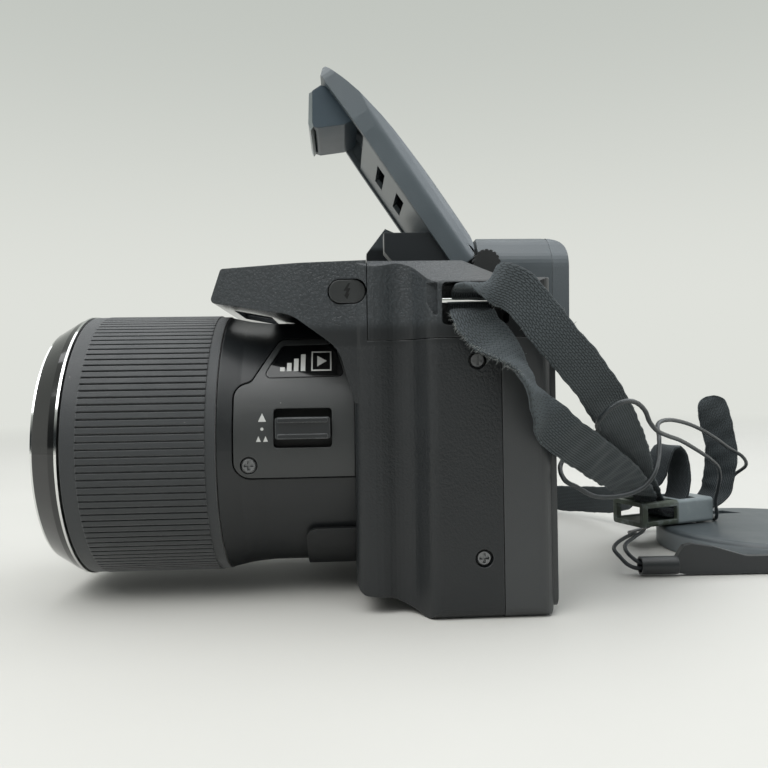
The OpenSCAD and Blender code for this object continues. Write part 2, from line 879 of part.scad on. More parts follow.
module lens_chassis() {
    color("#3a3d40")
        difference() {
            union() {
                lens_tube(chassis_in, chassis_r, chassis_rear_f, bezel_f);
                lens_disc(chassis_r, chassis_rear_f, chassis_rear_f + 2);
                for (a = [30, 150, 270])
                    on_lens_axis()
                        rotate([0, 0, a])
                            translate([chassis_r - 4, 0, plate_f])
                                cylinder(h = chassis_rear_f - plate_f + 1, r = 2.4, $fn = 32);
            }
            lens_disc(9, 0, chassis_rear_f + 3);
            // Flat under the flash's tray
            box([-far, -boss_y + 2.6, well_floor - 1.2], [far, 0, 90]);
            z_cylinder(0, socket_top + 0.2, 0, 0, socket_boss_r + 0.2);
        }
}
module zoom_tube_rear() {
    color("#1a1b1c") {
        lens_tube(tube2_in, tube2_r, tube_rear_f, bezel_f + 1);
        lens_tube(12.2, tube2_in + 0.1, tube_rear_f, tube_rear_f + 2);
    }
}
module zoom_tube_front() {
    color("#161718") {
        lens_tube(tube1_in, tube1_r, tube_rear_f + 3, bezel_f + 3);
        on_lens_axis()
            rotate_extrude($fn = 128)
                polygon([
                    [19.2, bezel_f - 2], [tube1_in + 0.1, bezel_f - 2], [tube1_in + 0.1, bezel_f + 3],
                    [tube1_r, bezel_f + 3], [tube1_r - 0.8, bezel_f + 3.8], [20.2, bezel_f + 1],
                    [19.2, bezel_f + 1]
                ]);
    }
}
front_lens_r = 19.1;
module lens_element(r, f_rear, edge, bulge) {
    sphere_r = (r * r + bulge * bulge) / (2 * bulge);
    on_lens_axis()
        intersection() {
            translate([0, 0, f_rear])
                cylinder(h = edge + bulge, r = r, $fn = 96);
            translate([0, 0, f_rear + edge + bulge - sphere_r])
                sphere(r = sphere_r, $fn = 128);
        }
}
module front_lens() {
    color("#5a6f78")
        lens_element(front_lens_r, bezel_f - 5, 3.4, 3.2);
}
module zoom_group_lens() {
    color("#7a8f98")
        lens_element(12.15, tube_rear_f - 1, 3, 2);
}
module image_sensor() {
    color("#2d6b4a") {
        box([-14, -plate_f - 1.6, axis_z - 12], [14, -plate_f, axis_z + 12]);
        box([-6, -plate_f - 3.4, axis_z - 5], [6, -plate_f - 1.55, axis_z + 5]);
    }
}

// Zoom control plate on the barrel's left side
plate_r = barrel_r + plate_t;
plate_outline = [
    [-51, 28.4, 3.5], [-boss_y - 0.1, 28.4, 0], [-boss_y - 0.1, 53, 0], [-30, 58.4, 2.5],
    [-41.6, 58.2, 2], [-47.4, 48.6, 2], [-51, 47.6, 3]
];
badge_outline = [[-45, 49.6, 1], [-27.3, 49.8, 1], [-29.6, 57, 1], [-41, 56.8, 1]];
rocker_y = -36.4;
rocker_z = 38.85;
module barrel_band(r_in, r_out) {
    lens_tube(r_in, r_out, boss_y, 56);
}
module rocker_space() {
    along_x(barrel_r - 3, far,
        rect(rocker_y, rocker_z, rocker_len + 0.8, rocker_h + 2 * rocker_travel + 0.7, 0.8));
}
module plate_seat(g) {
    intersection() {
        barrel_band(barrel_r, plate_r + g);
        along_x(5, far, plate_outline, -g);
    }
}
// Groove in the barrel round the plate
module plate_groove() {
    difference() {
        intersection() {
            barrel_band(barrel_r - 0.6, barrel_r + 1);
            along_x(5, far, plate_outline, -0.4);
        }
        along_x(4, far, plate_outline, 0.3);
    }
}
module zoom_plate() {
    color("#27292b")
        difference() {
            intersection() {
                barrel_band(barrel_r, plate_r);
                along_x(5, far, plate_outline);
            }
            rocker_space();
            intersection() {
                barrel_band(plate_r - 0.5, plate_r + 2);
                along_x(5, far, badge_outline, -0.12);
            }
            translate([barrel_r + plate_t * 0.9, plate_screw_y, plate_screw_z])
                rotate([0, 90, 0])
                    screw_space();
        }
}
module badge_plate() {
    color("#151617")
        intersection() {
            barrel_band(plate_r - 0.5, plate_r - 0.05);
            along_x(5, far, badge_outline);
        }
}
module zoom_rocker() {
    color("#2c2e30") {
        along_x(barrel_r - 1.2, barrel_r + plate_t + 0.5,
            rect(rocker_y, rocker_z, rocker_len, rocker_h, 0.6));
        for (s = [-1, 1])
            along_x(barrel_r + plate_t + 0.4, barrel_r + plate_t + 1,
                rect(rocker_y, rocker_z + s * 1.7, rocker_len - 1, 0.9, 0.3));
    }
}
module case_screws() {
    color("#6f7275") {
        at_side_screws()
            screw();
        at_base_screws()
            screw();
        translate([barrel_r + plate_t * 0.9, plate_screw_y, plate_screw_z])
            rotate([0, 90, 0])
                screw(plate_screw_len);
    }
}

// Flash
module flash_button_shape(x0, x1, g) {
    along_x(x0, x1,
        rect(flash_button_y, flash_button_z, flash_button_w + 2 * g, flash_button_h + 2 * g,
            flash_button_h / 2 + g - 0.01));
}
module flash_button() {
    color("#2a2c2e") {
        flash_button_shape(flash_button_x - 5, flash_button_x - 0.4, 0);
    }
}
module flash_cover() {
    color("#3c4147")
        raised()
            difference() {
                flash_shape();
                intersection() {
                    flash_shape(flash_wall);
                    box([-far, -far, 0], [far, far, far]);
                }
                // Open underside
                along_z(lip_z - 1, lip_z + 3, both_sides([
                    [14 - flash_wall, -flash_tip + 3, 4], [flash_half - flash_wall, -38, 30],
                    [flash_half - flash_wall, flash_rear - flash_wall, 0]
                ]));
                // Open rear edge, room for the hubs, and slots for the hinge lugs
                box([-leg_out - 0.1, -4, lip_z - 1], [leg_out + 0.1, flash_rear + 2, pivot_z]);
                x_cylinder(-leg_out - 0.1, leg_out + 0.1, pivot_y, pivot_z, hub_r + 0.15);
                for (x = [-leg_out, leg_in])
                    x_cylinder(x - 0.1, x + leg_out - leg_in + 0.1, pivot_y, pivot_z, hub_r + 1.1);
                for (x = [-lug_out, lug_in])
                    box(
                        [x - 0.4, -8, lip_z - 1],
                        [x + lug_out - lug_in + 0.4, flash_rear + 2, flash_top_z - flash_wall - 0.2]
                    );
            }
}
module flash_leg(x0, front_y, top_z) {
    difference() {
        union() {
            along_x(x0, x0 + leg_out - leg_in, [
                [front_y, leg_low_z + 6, 0], [front_y + 5, leg_low_z, 1], [pivot_y, leg_low_z + 1.4, 0],
                [pivot_y + 1, pivot_z, 0], [pivot_y - 7.2, top_z < 85 ? top_z : top_z - 4, 0],
                [front_y + 5, top_z, 0],
                [front_y, top_z < 85 ? top_z : top_z - 6.5, 0]
            ]);
            x_cylinder(x0, x0 + leg_out - leg_in, pivot_y, pivot_z, hub_r);
        }
        x_cylinder(x0 - 1, x0 + 20, pivot_y, pivot_z, pin_r + run_gap);
    }
}
module flash_inner_plate() {
    color("#4a4e52") {
        raised()
            difference() {
                box([-flash_half + flash_wall + 0.2, plate_y0, inner_plate_z],
                    [flash_half - flash_wall - 0.2, plate_y1, inner_plate_z + inner_plate_t]);
                for (y = [-30, -22])
                    box([-7, y, inner_plate_z - 1], [7, y + 3, inner_plate_z + 4]);
            }
        difference() {
            union() {
                flash_leg(leg_in, leg_front_y, leg_top_z);
                flash_leg(-leg_out, far_leg_front_y, far_leg_top_z);
            }
            raised()
                box([-far, -far, inner_plate_z + 0.4], [far, plate_y1 + 1.5, far]);
        }
    }
}
module flash_lamp_block() {
    color("#33373b")
        raised()
            difference() {
                along_x(-lamp_half, lamp_half, lamp_side);
                along_x(-lamp_half + 2, lamp_half - 2, lamp_hollow);
            }
}
module flash_window() {
    color("#cfd4d4")
        raised()
            along_x(-lamp_half + 0.3, lamp_half - 0.3, window_side);
}
module flash_reflector() {
    color("#d5d7d8")
        raised()
            along_x(-lamp_half + 2.1, lamp_half - 2.1, [
                [-50.8, 71.2, 0], [-47.6, 69.2, 0], [-45.4, 68.4, 0], [-44.6, 70.4, 0], [-44.4, 72.4, 0],
                [-50.8, 72.4, 0]
            ]);
}
module flash_tube() {
    color("#e8eaea")
        raised()
            x_cylinder(-lamp_half + 3, lamp_half - 3, -48.2, 68.9, 0.45);
}
module flash_hinge_pin() {
    color("#a9acae")
        x_cylinder(-leg_out, leg_out, pivot_y, pivot_z, pin_r - 0.01);
}
spring_turns = 5;
spring_wire = 0.5;
spring_coil_r = 1.8;
spring_len = 7;
spring_steps = 8;
function ring_points(p, u, v, r, sides) =
    [for (k = [0:sides - 1]) p + r * (cos(360 * k / sides) * u + sin(360 * k / sides) * v)];
module swept(rings) {
    n = len(rings[0]);
    m = len(rings);
    points = [for (q = rings) each q];
    sides = [for (i = [0:m - 2]) for (k = [0:n - 1])
        each [
            [i * n + k, i * n + (k + 1) % n, (i + 1) * n + (k + 1) % n],
            [i * n + k, (i + 1) * n + (k + 1) % n, (i + 1) * n + k]
        ]];
    first = [for (k = [1:n - 2]) [0, k + 1, k]];
    last = [for (k = [1:n - 2]) [(m - 1) * n, (m - 1) * n + k, (m - 1) * n + k + 1]];
    polyhedron(points = points, faces = concat(sides, first, last), convexity = 6);
}
spring_rings = [
    for (i = [0:spring_turns * spring_steps])
        let (
            a = 360 * i / spring_steps,
            p = [
                -spring_len / 2 + spring_len * i / (spring_turns * spring_steps),
                pivot_y + spring_coil_r * cos(a), pivot_z + spring_coil_r * sin(a)
            ]
        )
        ring_points(p, [0, cos(a), sin(a)], [1, 0, 0], spring_wire / 2, 6)
];
echo(spring_least_gap = spring_len / spring_turns - spring_wire);
module flash_spring() {
    color("#b8babb")
        swept(spring_rings);
}

// Viewfinder
module evf_housing() {
    color("#303438")
        difference() {
            intersection() {
                evf_shape(evf_front, eyepiece_front);
                along_x(-far, far, evf_side);
            }
            intersection() {
                evf_shape(evf_front + evf_wall, eyepiece_front + 1, evf_wall);
                difference() {
                    box([-far, -far, 0], [far, far, far]);
                    y_cylinder(evf_front, eyepiece_front + 2, 0, evf_axis_z, evf_bore + 1.2);
                }
            }
            y_cylinder(evf_front + evf_wall, eyepiece_front + 2, 0, evf_axis_z, evf_bore);
            x_cylinder(evf_half - 4, evf_half + 2, diopter_y, diopter_z, 1 + run_gap);
        }
}
module evf_eyecup() {
    color("#1a1b1c")
        difference() {
            intersection() {
                evf_shape(eyepiece_front + 0.05, evf_rear);
                along_x(-far, far, [
                    [eyepiece_front, evf_floor, 0], [evf_rear, evf_floor + 1, 2],
                    [evf_rear, evf_top - 1.6, 3.6], [eyepiece_front, evf_top, 0]
                ]);
            }
            along_y(eyepiece_front - 1, evf_rear + 1, rect(0, evf_axis_z, 19, 13, 3));
        }
}
module evf_lens() {
    color("#8fa3ab")
        y_cylinder(eyepiece_front - 4, eyepiece_front - 0.2, 0, evf_axis_z, evf_bore - 0.05);
}
module evf_display() {
    color("#16324a")
        y_cylinder(evf_front + evf_wall, evf_front + evf_wall + 2.4, 0, evf_axis_z, evf_bore - 0.1);
}
module diopter_dial() {
    color("#1c1d1e") {
        difference() {
            x_cylinder(diopter_x0, diopter_x0 + diopter_w, diopter_y, diopter_z, diopter_r);
            for (i = [0:17])
                translate([0, diopter_y, diopter_z])
                    rotate([i * 20, 0, 0])
                        box([diopter_x0 - 1, diopter_r - 0.25, -0.2],
                            [diopter_x0 + diopter_w + 1, diopter_r + 1, 0.2]);
        }
        x_cylinder(evf_half - 3, diopter_x0 + 0.1, diopter_y, diopter_z, 1);
    }
}

// Rear screen and inner boards
module screen_window() {
    color("#0a0c0e")
        along_y(rear_y + 0.12, rear_y + 0.8, rect(screen_x, screen_z, screen_w, screen_h, 1.4));
}
module screen_panel() {
    color("#1b2530")
        along_y(rear_y - 6.6, rear_y - 1.9, rect(screen_x, screen_z, screen_w - 1, screen_h - 1, 0.5));
}
board_y = rear_y - 8.6;
capacitor_x = -38.6;
capacitor_r = 5.4;
capacitor_z = 6;
module main_board() {
    color("#1f5a3a") {
        box([-36, board_y, 9], [left_x - 5, board_y + 1.2, 53]);
        // Shielded processor, connector rows and the card slot's can
        box([-20, board_y + 1.15, 18], [2, board_y + 1.6, 40]);
        box([10, board_y + 1.15, 12], [26, board_y + 1.6, 16]);
        box([-36, board_y - 2.4, 9], [-10.5, board_y + 0.05, 11]);
    }
}
module inner_chassis() {
    color("#9a9c9e") {
        difference() {
            box([-30, -plate_f, 4], [left_x - 6, -plate_f + 1.2, 55]);
            z_cylinder(0, socket_top, 0, 0, socket_boss_r + 0.1);
        }
        box([-12, -plate_f + 1.15, socket_top], [12, board_y - 0.4, socket_top + 1.2]);
        // Back plate and shelf of the flash capacitor
        box([capacitor_x - capacitor_r, -plate_f, 4.8], [-29.9, -plate_f + 1.2, 36]);
        box([capacitor_x - capacitor_r, -plate_f - 2 * capacitor_r, 4.8],
            [capacitor_x + capacitor_r, -plate_f + 0.05, capacitor_z]);
    }
}
module battery_box() {
    color("#3b3e41")
        difference() {
            intersection() {
                box(
                    [bay_x - bay_half, bay_y - bay_half, 5],
                    [bay_x + bay_half, bay_y + bay_half, cell_z + cell_len + 1.2]
                );
                handle(skin + wall + 0.05);
            }
            box(
                [bay_x - bay_inner / 2, bay_y - bay_inner / 2, 0],
                [bay_x + bay_inner / 2, bay_y + bay_inner / 2, cell_z + cell_len + 0.2]
            );
        }
}
module aa_cells() {
    color("#b9bcc0")
        for (i = [-1, 1], j = [-1, 1]) {
            z_cylinder(cell_z, cell_z + cell_len - 1, bay_x + i * cell_pitch / 2,
                bay_y + j * cell_pitch / 2, cell_d / 2);
            z_cylinder(cell_z + cell_len - 1.1, cell_z + cell_len, bay_x + i * cell_pitch / 2,
                bay_y + j * cell_pitch / 2, 2.7);
        }
}
module flash_capacitor() {
    color("#24262a")
        z_cylinder(capacitor_z, capacitor_z + 32, capacitor_x, -plate_f - capacitor_r, capacitor_r);
}

// Top controls
module shutter_button() {
    color("#b9bbbc")
        difference() {
            z_cylinder(shoulder_z - 3, shutter_top, shutter_x, shutter_y, shutter_r);
            translate([shutter_x, shutter_y, shutter_top + 17.2])
                sphere(r = 18, $fn = 96);
        }
}
module zoom_lever() {
    color("#2a2c2e")
        difference() {
            union() {
                z_cylinder(shoulder_z + 0.3, shoulder_z + 2.8, shutter_x, shutter_y, lever_r);
                along_z(shoulder_z + 0.3, shoulder_z + 4, [
                    [shutter_x - 2.2, shutter_y - lever_r - 2.4, 1],
                    [shutter_x + 2.2, shutter_y - lever_r - 2.4, 1],
                    [shutter_x + 3.2, shutter_y - lever_r + 1.6, 0],
                    [shutter_x - 3.2, shutter_y - lever_r + 1.6, 0]
                ]);
            }
            z_cylinder(shoulder_z - 1, shoulder_z + 9, shutter_x, shutter_y, shutter_r + button_gap);
        }
}
module dial(x, y, r, h, teeth) {
    difference() {
        z_cylinder(shoulder_z + dial_lift, shoulder_z + dial_lift + h, x, y, r);
        for (i = [0:teeth - 1])
            translate([x, y, 0])
                rotate([0, 0, i * 360 / teeth])
                    box([r - 0.35, -0.35, shoulder_z], [r + 1, 0.35, shoulder_z + dial_lift + h - 0.8]);
    }
    z_cylinder(shoulder_z - 3, shoulder_z + dial_lift + 0.1, x, y, dial_shaft_r);
}
module mode_dial() {
    color("#26282a")
        dial(mode_x, mode_y, mode_r, mode_h, 36);
}
module command_dial() {
    color("#26282a")
        dial(command_x, command_y, command_r, 3.6, 30);
}
module power_switch() {
    color("#2f3133") {
        box([switch_x - switch_w / 2, switch_y - switch_d / 2, shoulder_z + 0.2],
            [switch_x + switch_w / 2, switch_y + switch_d / 2, shoulder_z + 1.8]);
        box([switch_x - 2, switch_y - 0.7, shoulder_z - 2.2],
            [switch_x, switch_y + 0.7, shoulder_z + 0.25]);
    }
}

// Rear controls
module rear_button(x, z, r) {
    y_cylinder(rear_y - 3, rear_y + press + 0.3, x, z, r);
}
module playback_button() {
    color("#2f3133")
        rear_button(playback_x, playback_z, playback_r);
}
module movie_button() {
    color("#7a1f1c")
        rear_button(movie_x, movie_z, movie_r);
}
module selector_ring() {
    color("#2f3133")
        difference() {
            rear_button(selector_x, selector_z, selector_r);
            y_cylinder(rear_y - 9, rear_y + 9, selector_x, selector_z, ok_r + button_gap);
        }
}
module ok_button() {
    color("#3a3c3e")
        rear_button(selector_x, selector_z, ok_r);
}

// Neck strap: each route point is [x, y, z] and the direction of the webbing's width
upper_leg_route = [
    [[36.2, -0.8, 65.4], [0, 1, 0]], [[36.9, -0.8, 66.7], [0, 1, 0]], [[38.8, -0.6, 67.1], [0, 1, 0]],
    [[42.4, -0.4, 67.1], [0, 1, 0]], [[45, 2.8, 67.1], [0.1, 0.7, 0.7]],
    [[45.8, 6.3, 65.6], [0.1, 0.5, 0.85]], [[46, 9.5, 62.1], [0, 0.66, 0.75]],
    [[45.8, 12.5, 58.3], [0, 0.7, 0.71]], [[45, 15.6, 54.8], [0, 0.74, 0.67]],
    [[43.4, 19.3, 51.1], [0, 0.75, 0.66]], [[40.4, 23.4, 46.9], [0, 0.8, 0.6]],
    [[36, 27.6, 42.4], [0.05, 0.86, 0.5]], [[29, 32.2, 38], [0.12, 0.9, 0.42]],
    [[20, 37.3, 33.3], [0.25, 0.9, 0.35]], [[9, 42.7, 28.9], [0.4, 0.87, 0.28]],
    [[-2, 47.9, 24.1], [0.55, 0.8, 0.2]], [[-11.4, 52.4, 20.6], [0.72, 0.68, 0.1]],
    [[-18.6, 56.2, 18.6], [0.84, 0.54, 0]], [[-23.2, 58.9, 16.9], [0.92, 0.4, 0]],
    [[-25.3, 61.4, 14.3], [0.94, 0.34, 0]], [[-26.2, 63.4, 12.1], [0.94, 0.34, 0]],
    [[-27.2, 66.1, 11.2], [0.94, 0.34, 0]], [[-28.1, 68.5, 11.6], [0.94, 0.34, 0]],
    [[-28.8, 70.4, 13.6], [0.94, 0.34, 0]], [[-29.1, 71.3, 17], [0.94, 0.34, 0]],
    [[-29.2, 71.5, 21], [0.94, 0.34, 0]], [[-28.9, 70.8, 25], [0.94, 0.34, 0]],
    [[-28.3, 69.1, 27.8], [0.94, 0.34, 0]], [[-27.9, 66.9, 28], [0.94, 0.34, 0]],
    [[-28.2, 65.3, 25], [0.94, 0.34, 0]], [[-29.3, 64.2, 20.6], [0.94, 0.34, 0]],
    [[-31.5, 63.2, 18.8], [0.94, 0.3, 0.1]], [[-35.2, 61.7, 16.6], [0.92, 0.25, 0.2]],
    [[-42.6, 63.2, 13], [0.75, 0.15, 0.55]], [[-51, 62.2, 10], [0.25, 0.15, 0.95]],
    [[-60, 60, 7.9], [0, 0.1, 1]], [[-69, 56.4, 6.8], [0, 0, 1]], [[-79, 50.6, 5.8], [0, 0, 1]],
    [[-92, 43, 5.4], [0, 0, 1]], [[-109.2, 37, 5.2], [0, 0, 1]]
];
lower_leg_route = [
    [[36.2, -1.5, 64], [0, 1, 0]], [[36.9, -1.5, 62.7], [0, 1, 0]], [[38.9, -1.4, 62.2], [0, 1, 0]],
    [[41.6, -1.5, 61.2], [-0, 0.98, 0.2]], [[42.8, 0.3, 58.1], [-0.34, 0.71, 0.62]],
    [[44, 3.6, 55], [-0.6, 0.54, 0.59]], [[45.2, 6.2, 51.8], [-0.84, 0.39, 0.39]],
    [[45.8, 8, 48.9], [-0.93, 0.34, 0.13]], [[45.8, 9.1, 46.1], [-0.92, 0.39, 0.1]],
    [[45, 10.9, 42.8], [-0.69, 0.69, 0.22]], [[43.2, 13.7, 39.3], [-0.24, 0.8, 0.55]],
    [[40.6, 17.9, 36], [-0, 0.7, 0.71]], [[35, 23.8, 32.6], [0.05, 0.66, 0.75]],
    [[26, 30.7, 28.7], [0.12, 0.7, 0.7]], [[14, 38.3, 24.9], [0.3, 0.75, 0.6]],
    [[0, 46, 20.4], [0.5, 0.8, 0.34]], [[-10, 51, 18.2], [0.68, 0.72, 0.15]],
    [[-17.4, 54.8, 16.4], [0.82, 0.57, 0]], [[-23.1, 57.5, 15.4], [0.92, 0.4, 0]],
    [[-25, 60, 12.2], [0.94, 0.34, 0]], [[-25.8, 62.1, 9.6], [0.94, 0.34, 0]],
    [[-26.8, 64.9, 8.7], [0.94, 0.34, 0]], [[-28.7, 70.2, 8.7], [0.94, 0.34, 0]],
    [[-30.4, 74.9, 8.7], [0.94, 0.34, 0]], [[-31.7, 78.5, 9], [0.94, 0.34, 0]],
    [[-32.4, 81, 11.2], [0.92, 0.4, 0]], [[-31, 83.5, 15.2], [0.75, 0.66, 0]],
    [[-29.5, 84.1, 21.3], [0.5, 0.86, 0]], [[-28, 83.8, 27.4], [0.3, 0.95, 0]],
    [[-27, 82.1, 33.7], [0.2, 0.97, 0.1]], [[-26, 80.2, 40.3], [0.15, 0.98, 0.12]],
    [[-26, 79.7, 42.9], [0.15, 0.98, 0.12]]
];
roll_centre = [-118, 6, 5.2];
roll_outer_r = 29;
roll_pitch = 4.4;
roll_turns = 3;
roll_start = 100;
roll_loop_steps = 24;
roll_count = roll_turns * roll_loop_steps;
function roll_angle(i) = roll_start + 360 * i / roll_loop_steps;
function roll_radius(i) = roll_outer_r - roll_pitch * i / roll_loop_steps;
function roll_point(i) = roll_centre + roll_radius(i) * [cos(roll_angle(i)), sin(roll_angle(i)), 0];
right_lug_route = concat(
    [[roll_point(roll_count), [0, 0, 1]]],
    [
        [[-126.6, 20.5, 5.2], [0, 0, 1]], [[-130, 13.6, 5.3], [0, 0, 1]],
        [[-127, 7.4, 5.8], [0.35, 0.35, 0.85]],
        [[-121, 4, 7], [0.25, 0.85, 0.45]], [[-114.4, 2.8, 9.4], [0.1, 1, 0.1]],
        [[-109.4, 2, 14.4], [0, 1, 0]],
        [[-106, 1.2, 21], [0, 1, 0]], [[-102.6, 0.4, 28], [0, 1, 0]], [[-98.6, -0.4, 35.4], [0, 1, 0]],
        [[-94, -1.2, 43.4], [0, 1, 0]], [[-89.8, -1.8, 51.2], [0, 1, 0]], [[-86, -2, 58], [0, 1, 0]],
        [[-83, -2, 61.6], [0, 1, 0]], [[-80.6, -2, 62.1], [0, 1, 0]], [[-78.9, -2, 60.9], [0, 1, 0]]
    ]
);
function strap_section(p, tangent, wide) =
    let (
        n = unit(cross(tangent, wide)),
        w = unit(cross(n, tangent)) * strap_w / 2,
        t = n * strap_t / 2
    )
    [p + w - t, p - w - t, p - w + t, p + w + t];
function mixed(a, b, c, d, t) =
    0.5 * (2 * b + (c - a) * t + (2 * a - 5 * b + 4 * c - d) * t * t + (3 * b - a - 3 * c + d) * t * t * t);
function mixed_slope(a, b, c, d, t) =
    0.5 * ((c - a) + 2 * (2 * a - 5 * b + 4 * c - d) * t + 3 * (3 * b - a - 3 * c + d) * t * t);
function at_route(route, i) = route[max(0, min(len(route) - 1, i))];
strap_smooth = 2;
function strap_rings(route) = [
    for (i = [0:len(route) - 2])
        for (k = [0:(i == len(route) - 2 ? strap_smooth : strap_smooth - 1)])
            let (
                t = k / strap_smooth,
                a = at_route(route, i - 1),
                b = route[i],
                c = route[i + 1],
                d = at_route(route, i + 2)
            )
            strap_section(
                mixed(a[0], b[0], c[0], d[0], t), mixed_slope(a[0], b[0], c[0], d[0], t),
                    (1 - t) * b[1] + t * c[1]
            )
];
roll_points = [for (i = [0:roll_count]) roll_point(i)];
roll_gap = min([
    for (i = [0:roll_count - roll_loop_steps])
        min([for (j = [i + roll_loop_steps / 2:roll_count]) norm(roll_points[i] - roll_points[j])])
]) - strap_t;
echo(strap_roll_least_gap = roll_gap);
to_roll_route = concat(upper_leg_route, [[roll_point(0), [0, 0, 1]]]);
module neck_strap() {
    color("#222426") {
        swept(strap_rings(to_roll_route));
        swept(strap_rings(lower_leg_route));
        swept(strap_rings(right_lug_route));
    }
}
module strap_roll() {
    color("#222426")
        swept([
            for (i = [0:roll_count])
                strap_section(roll_points[i], [-sin(roll_angle(i)), cos(roll_angle(i)), 0], [0, 0, 1])
        ]);
}
slider_place = [-27, 65.5, 8.7];
slider_yaw = 110;
slider_len = 26;
slider_layers = 2.4;
slider_rail = 1.3;
slider_gap = 0.4;
slider_half = strap_w / 2 + slider_gap + slider_rail;
slider_low = -strap_t / 2 - slider_gap - slider_rail;
slider_high = slider_layers + strap_t / 2 + slider_gap + slider_rail;
module strap_slider() {
    color("#6b7478")
        translate(slider_place)
            rotate([0, 0, slider_yaw])
                difference() {
                    along_x(-slider_len / 2, slider_len / 2, [
                        [-slider_half, slider_low, 1], [slider_half, slider_low, 1],
                        [slider_half, slider_high, 1], [-slider_half, slider_high, 1]
                    ]);
                    box(
                        [-slider_len, -slider_half + slider_rail, slider_low + slider_rail],
                        [slider_len, slider_half - slider_rail, slider_high - slider_rail]
                    );
                    // Open sides of the half that the strap enters, and the two slots on top
                    box([-slider_len / 2 + 1.8, -slider_len, slider_low + 1.6],
                        [-0.5, slider_len, slider_high - 1.6]);
                    for (a = [[-slider_len / 2 + 1.8, -0.5], [1.6, slider_len / 2 - 5]])
                        box([a[0], -slider_half + slider_rail, 0],
                            [a[1], slider_half - slider_rail, slider_len]);
                }
}

// Lens cap with its tether
cap_x = -20;
cap_y = 93.5;
cap_wall = 1.6;
module lens_cap() {
    color("#3d4042")
        translate([cap_x, cap_y, 0])
            difference() {
                rotate_extrude($fn = 128)
                    polygon(outline([[0, 0, 0], [cap_r, 0, 0.4], [cap_r, cap_h, 1.6], [0, cap_h, 0]]));
                translate([0, 0, -1])
                    cylinder(h = cap_h - cap_wall + 1, r = cap_r - cap_wall, $fn = 128);
                // Pinch grips, a curved trench on each side
                for (a = [35, 215])
                    rotate([0, 0, a])
                        intersection() {
                            translate([0, 0, cap_h - 0.9])
                                difference() {
                                    cylinder(h = 5, r = cap_r - 6, $fn = 96);
                                    translate([0, 0, -1])
                                        cylinder(h = 7, r = cap_r - 11, $fn = 96);
                                }
                            box([0, -13, 0], [cap_r, 13, 20]);
                        }
            }
}
bead_place = [9.7, 44, 0];
bead_yaw = 88;
bead_len = 9;
bead_r = 2.2;
bead_z = 2.6;
bead_bore = 1.75;
tab_end = 56;
tab_half = 0.9;
tether_route = [
    [-27, 60, 4.6], [-22, 57.6, 4.9], [-16, 54.6, 5.5], [-10, 51, 6], [-4, 47.2, 6.2], [1, 43.8, 6.1],
    [4.8, 42.2, 5.8], [7.6, 41.9, 5.1], [9.2, 42.9, 4], [9.6, 44.3, 3.25], [9.68, 45.9, 3.1],
    [9.7, 46.3, 2.6], [9.72, 45.9, 2.1], [9.6, 43.2, 2], [9, 41.2, 2.8], [7.6, 39.9, 4.3],
    [4.4, 39.5, 5.6], [0.2, 41.8, 6.2], [-5.4, 45.9, 6.3], [-11, 49.9, 6], [-16.4, 53, 5.2],
    [-21, 54.6, 4.2], [-27, 55.8, 3.2], [-33, 57.6, 2.2], [-39, 61.6, 1.4], [-43.6, 67, 1.4],
    [-46.2, 73.4, 3.4], [-46.4, 79.6, 7], [-44.6, 85, 11.2], [-40.8, 88.8, 14.6], [-36.6, 90.6, 17],
    [-33.4, 91.2, 19.2], [-29, 91.8, 22], [-23.4, 87.8, 25.2], [-19, 81.5, 28.2], [-12, 74, 31.7],
    [-5, 66.5, 34.7], [2, 59.3, 36.8], [11, 51.2, 38.1], [17, 46, 37.5], [21.5, 44.3, 34.6],
    [25.5, 42.5, 31.1], [29, 40.1, 27.8], [30, 37.4, 24.9], [31.5, 33.5, 23.5], [33.5, 28.8, 23.2],
    [35.5, 24.3, 23.8], [37.5, 20.3, 25.9], [38.2, 17.4, 27.6], [34.6, 17.5, 30], [31.6, 20.2, 32.6],
    [30.6, 23.8, 34.8], [32.6, 26.2, 37], [36.8, 24.8, 38.6], [41.4, 24, 40.4], [43.4, 26, 42.8],
    [42, 29, 43.7], [39, 32.4, 43.2], [35.5, 35.5, 41.4], [33, 37.5, 38.9], [29, 40.8, 36.7],
    [21.5, 46.4, 35], [12.5, 53.5, 33.1], [1, 62.8, 29.7], [-8, 70.6, 26.4], [-14.5, 76, 23.4],
    [-19.5, 79, 20], [-22.5, 79.9, 16.1], [-24.3, 80, 12.4], [-25, 80.7, 8.6], [-27.2, 81.4, 6.8],
    [-31, 82.4, 6.5]
];
tether_sides = 8;
tether_smooth = 2;
function tether_frame(slope) =
    let (u = unit(cross(slope, abs(slope[2]) > 0.9 * norm(slope) ? [1, 0, 0] : [0, 0, 1])))
    [u, unit(cross(u, slope))];
module cap_tether() {
    color("#1b1c1d")
        swept([
            for (i = [0:len(tether_route) - 2])
                for (k = [0:(i == len(tether_route) - 2 ? tether_smooth : tether_smooth - 1)])
                    let (
                        t = k / tether_smooth,
                        a = at_route(tether_route, i - 1),
                        b = tether_route[i],
                        c = tether_route[i + 1],
                        d = at_route(tether_route, i + 2),
                        f = tether_frame(mixed_slope(a, b, c, d, t))
                    )
                    ring_points(mixed(a, b, c, d, t), f[0], f[1], tether_d / 2, tether_sides)
        ]);
}
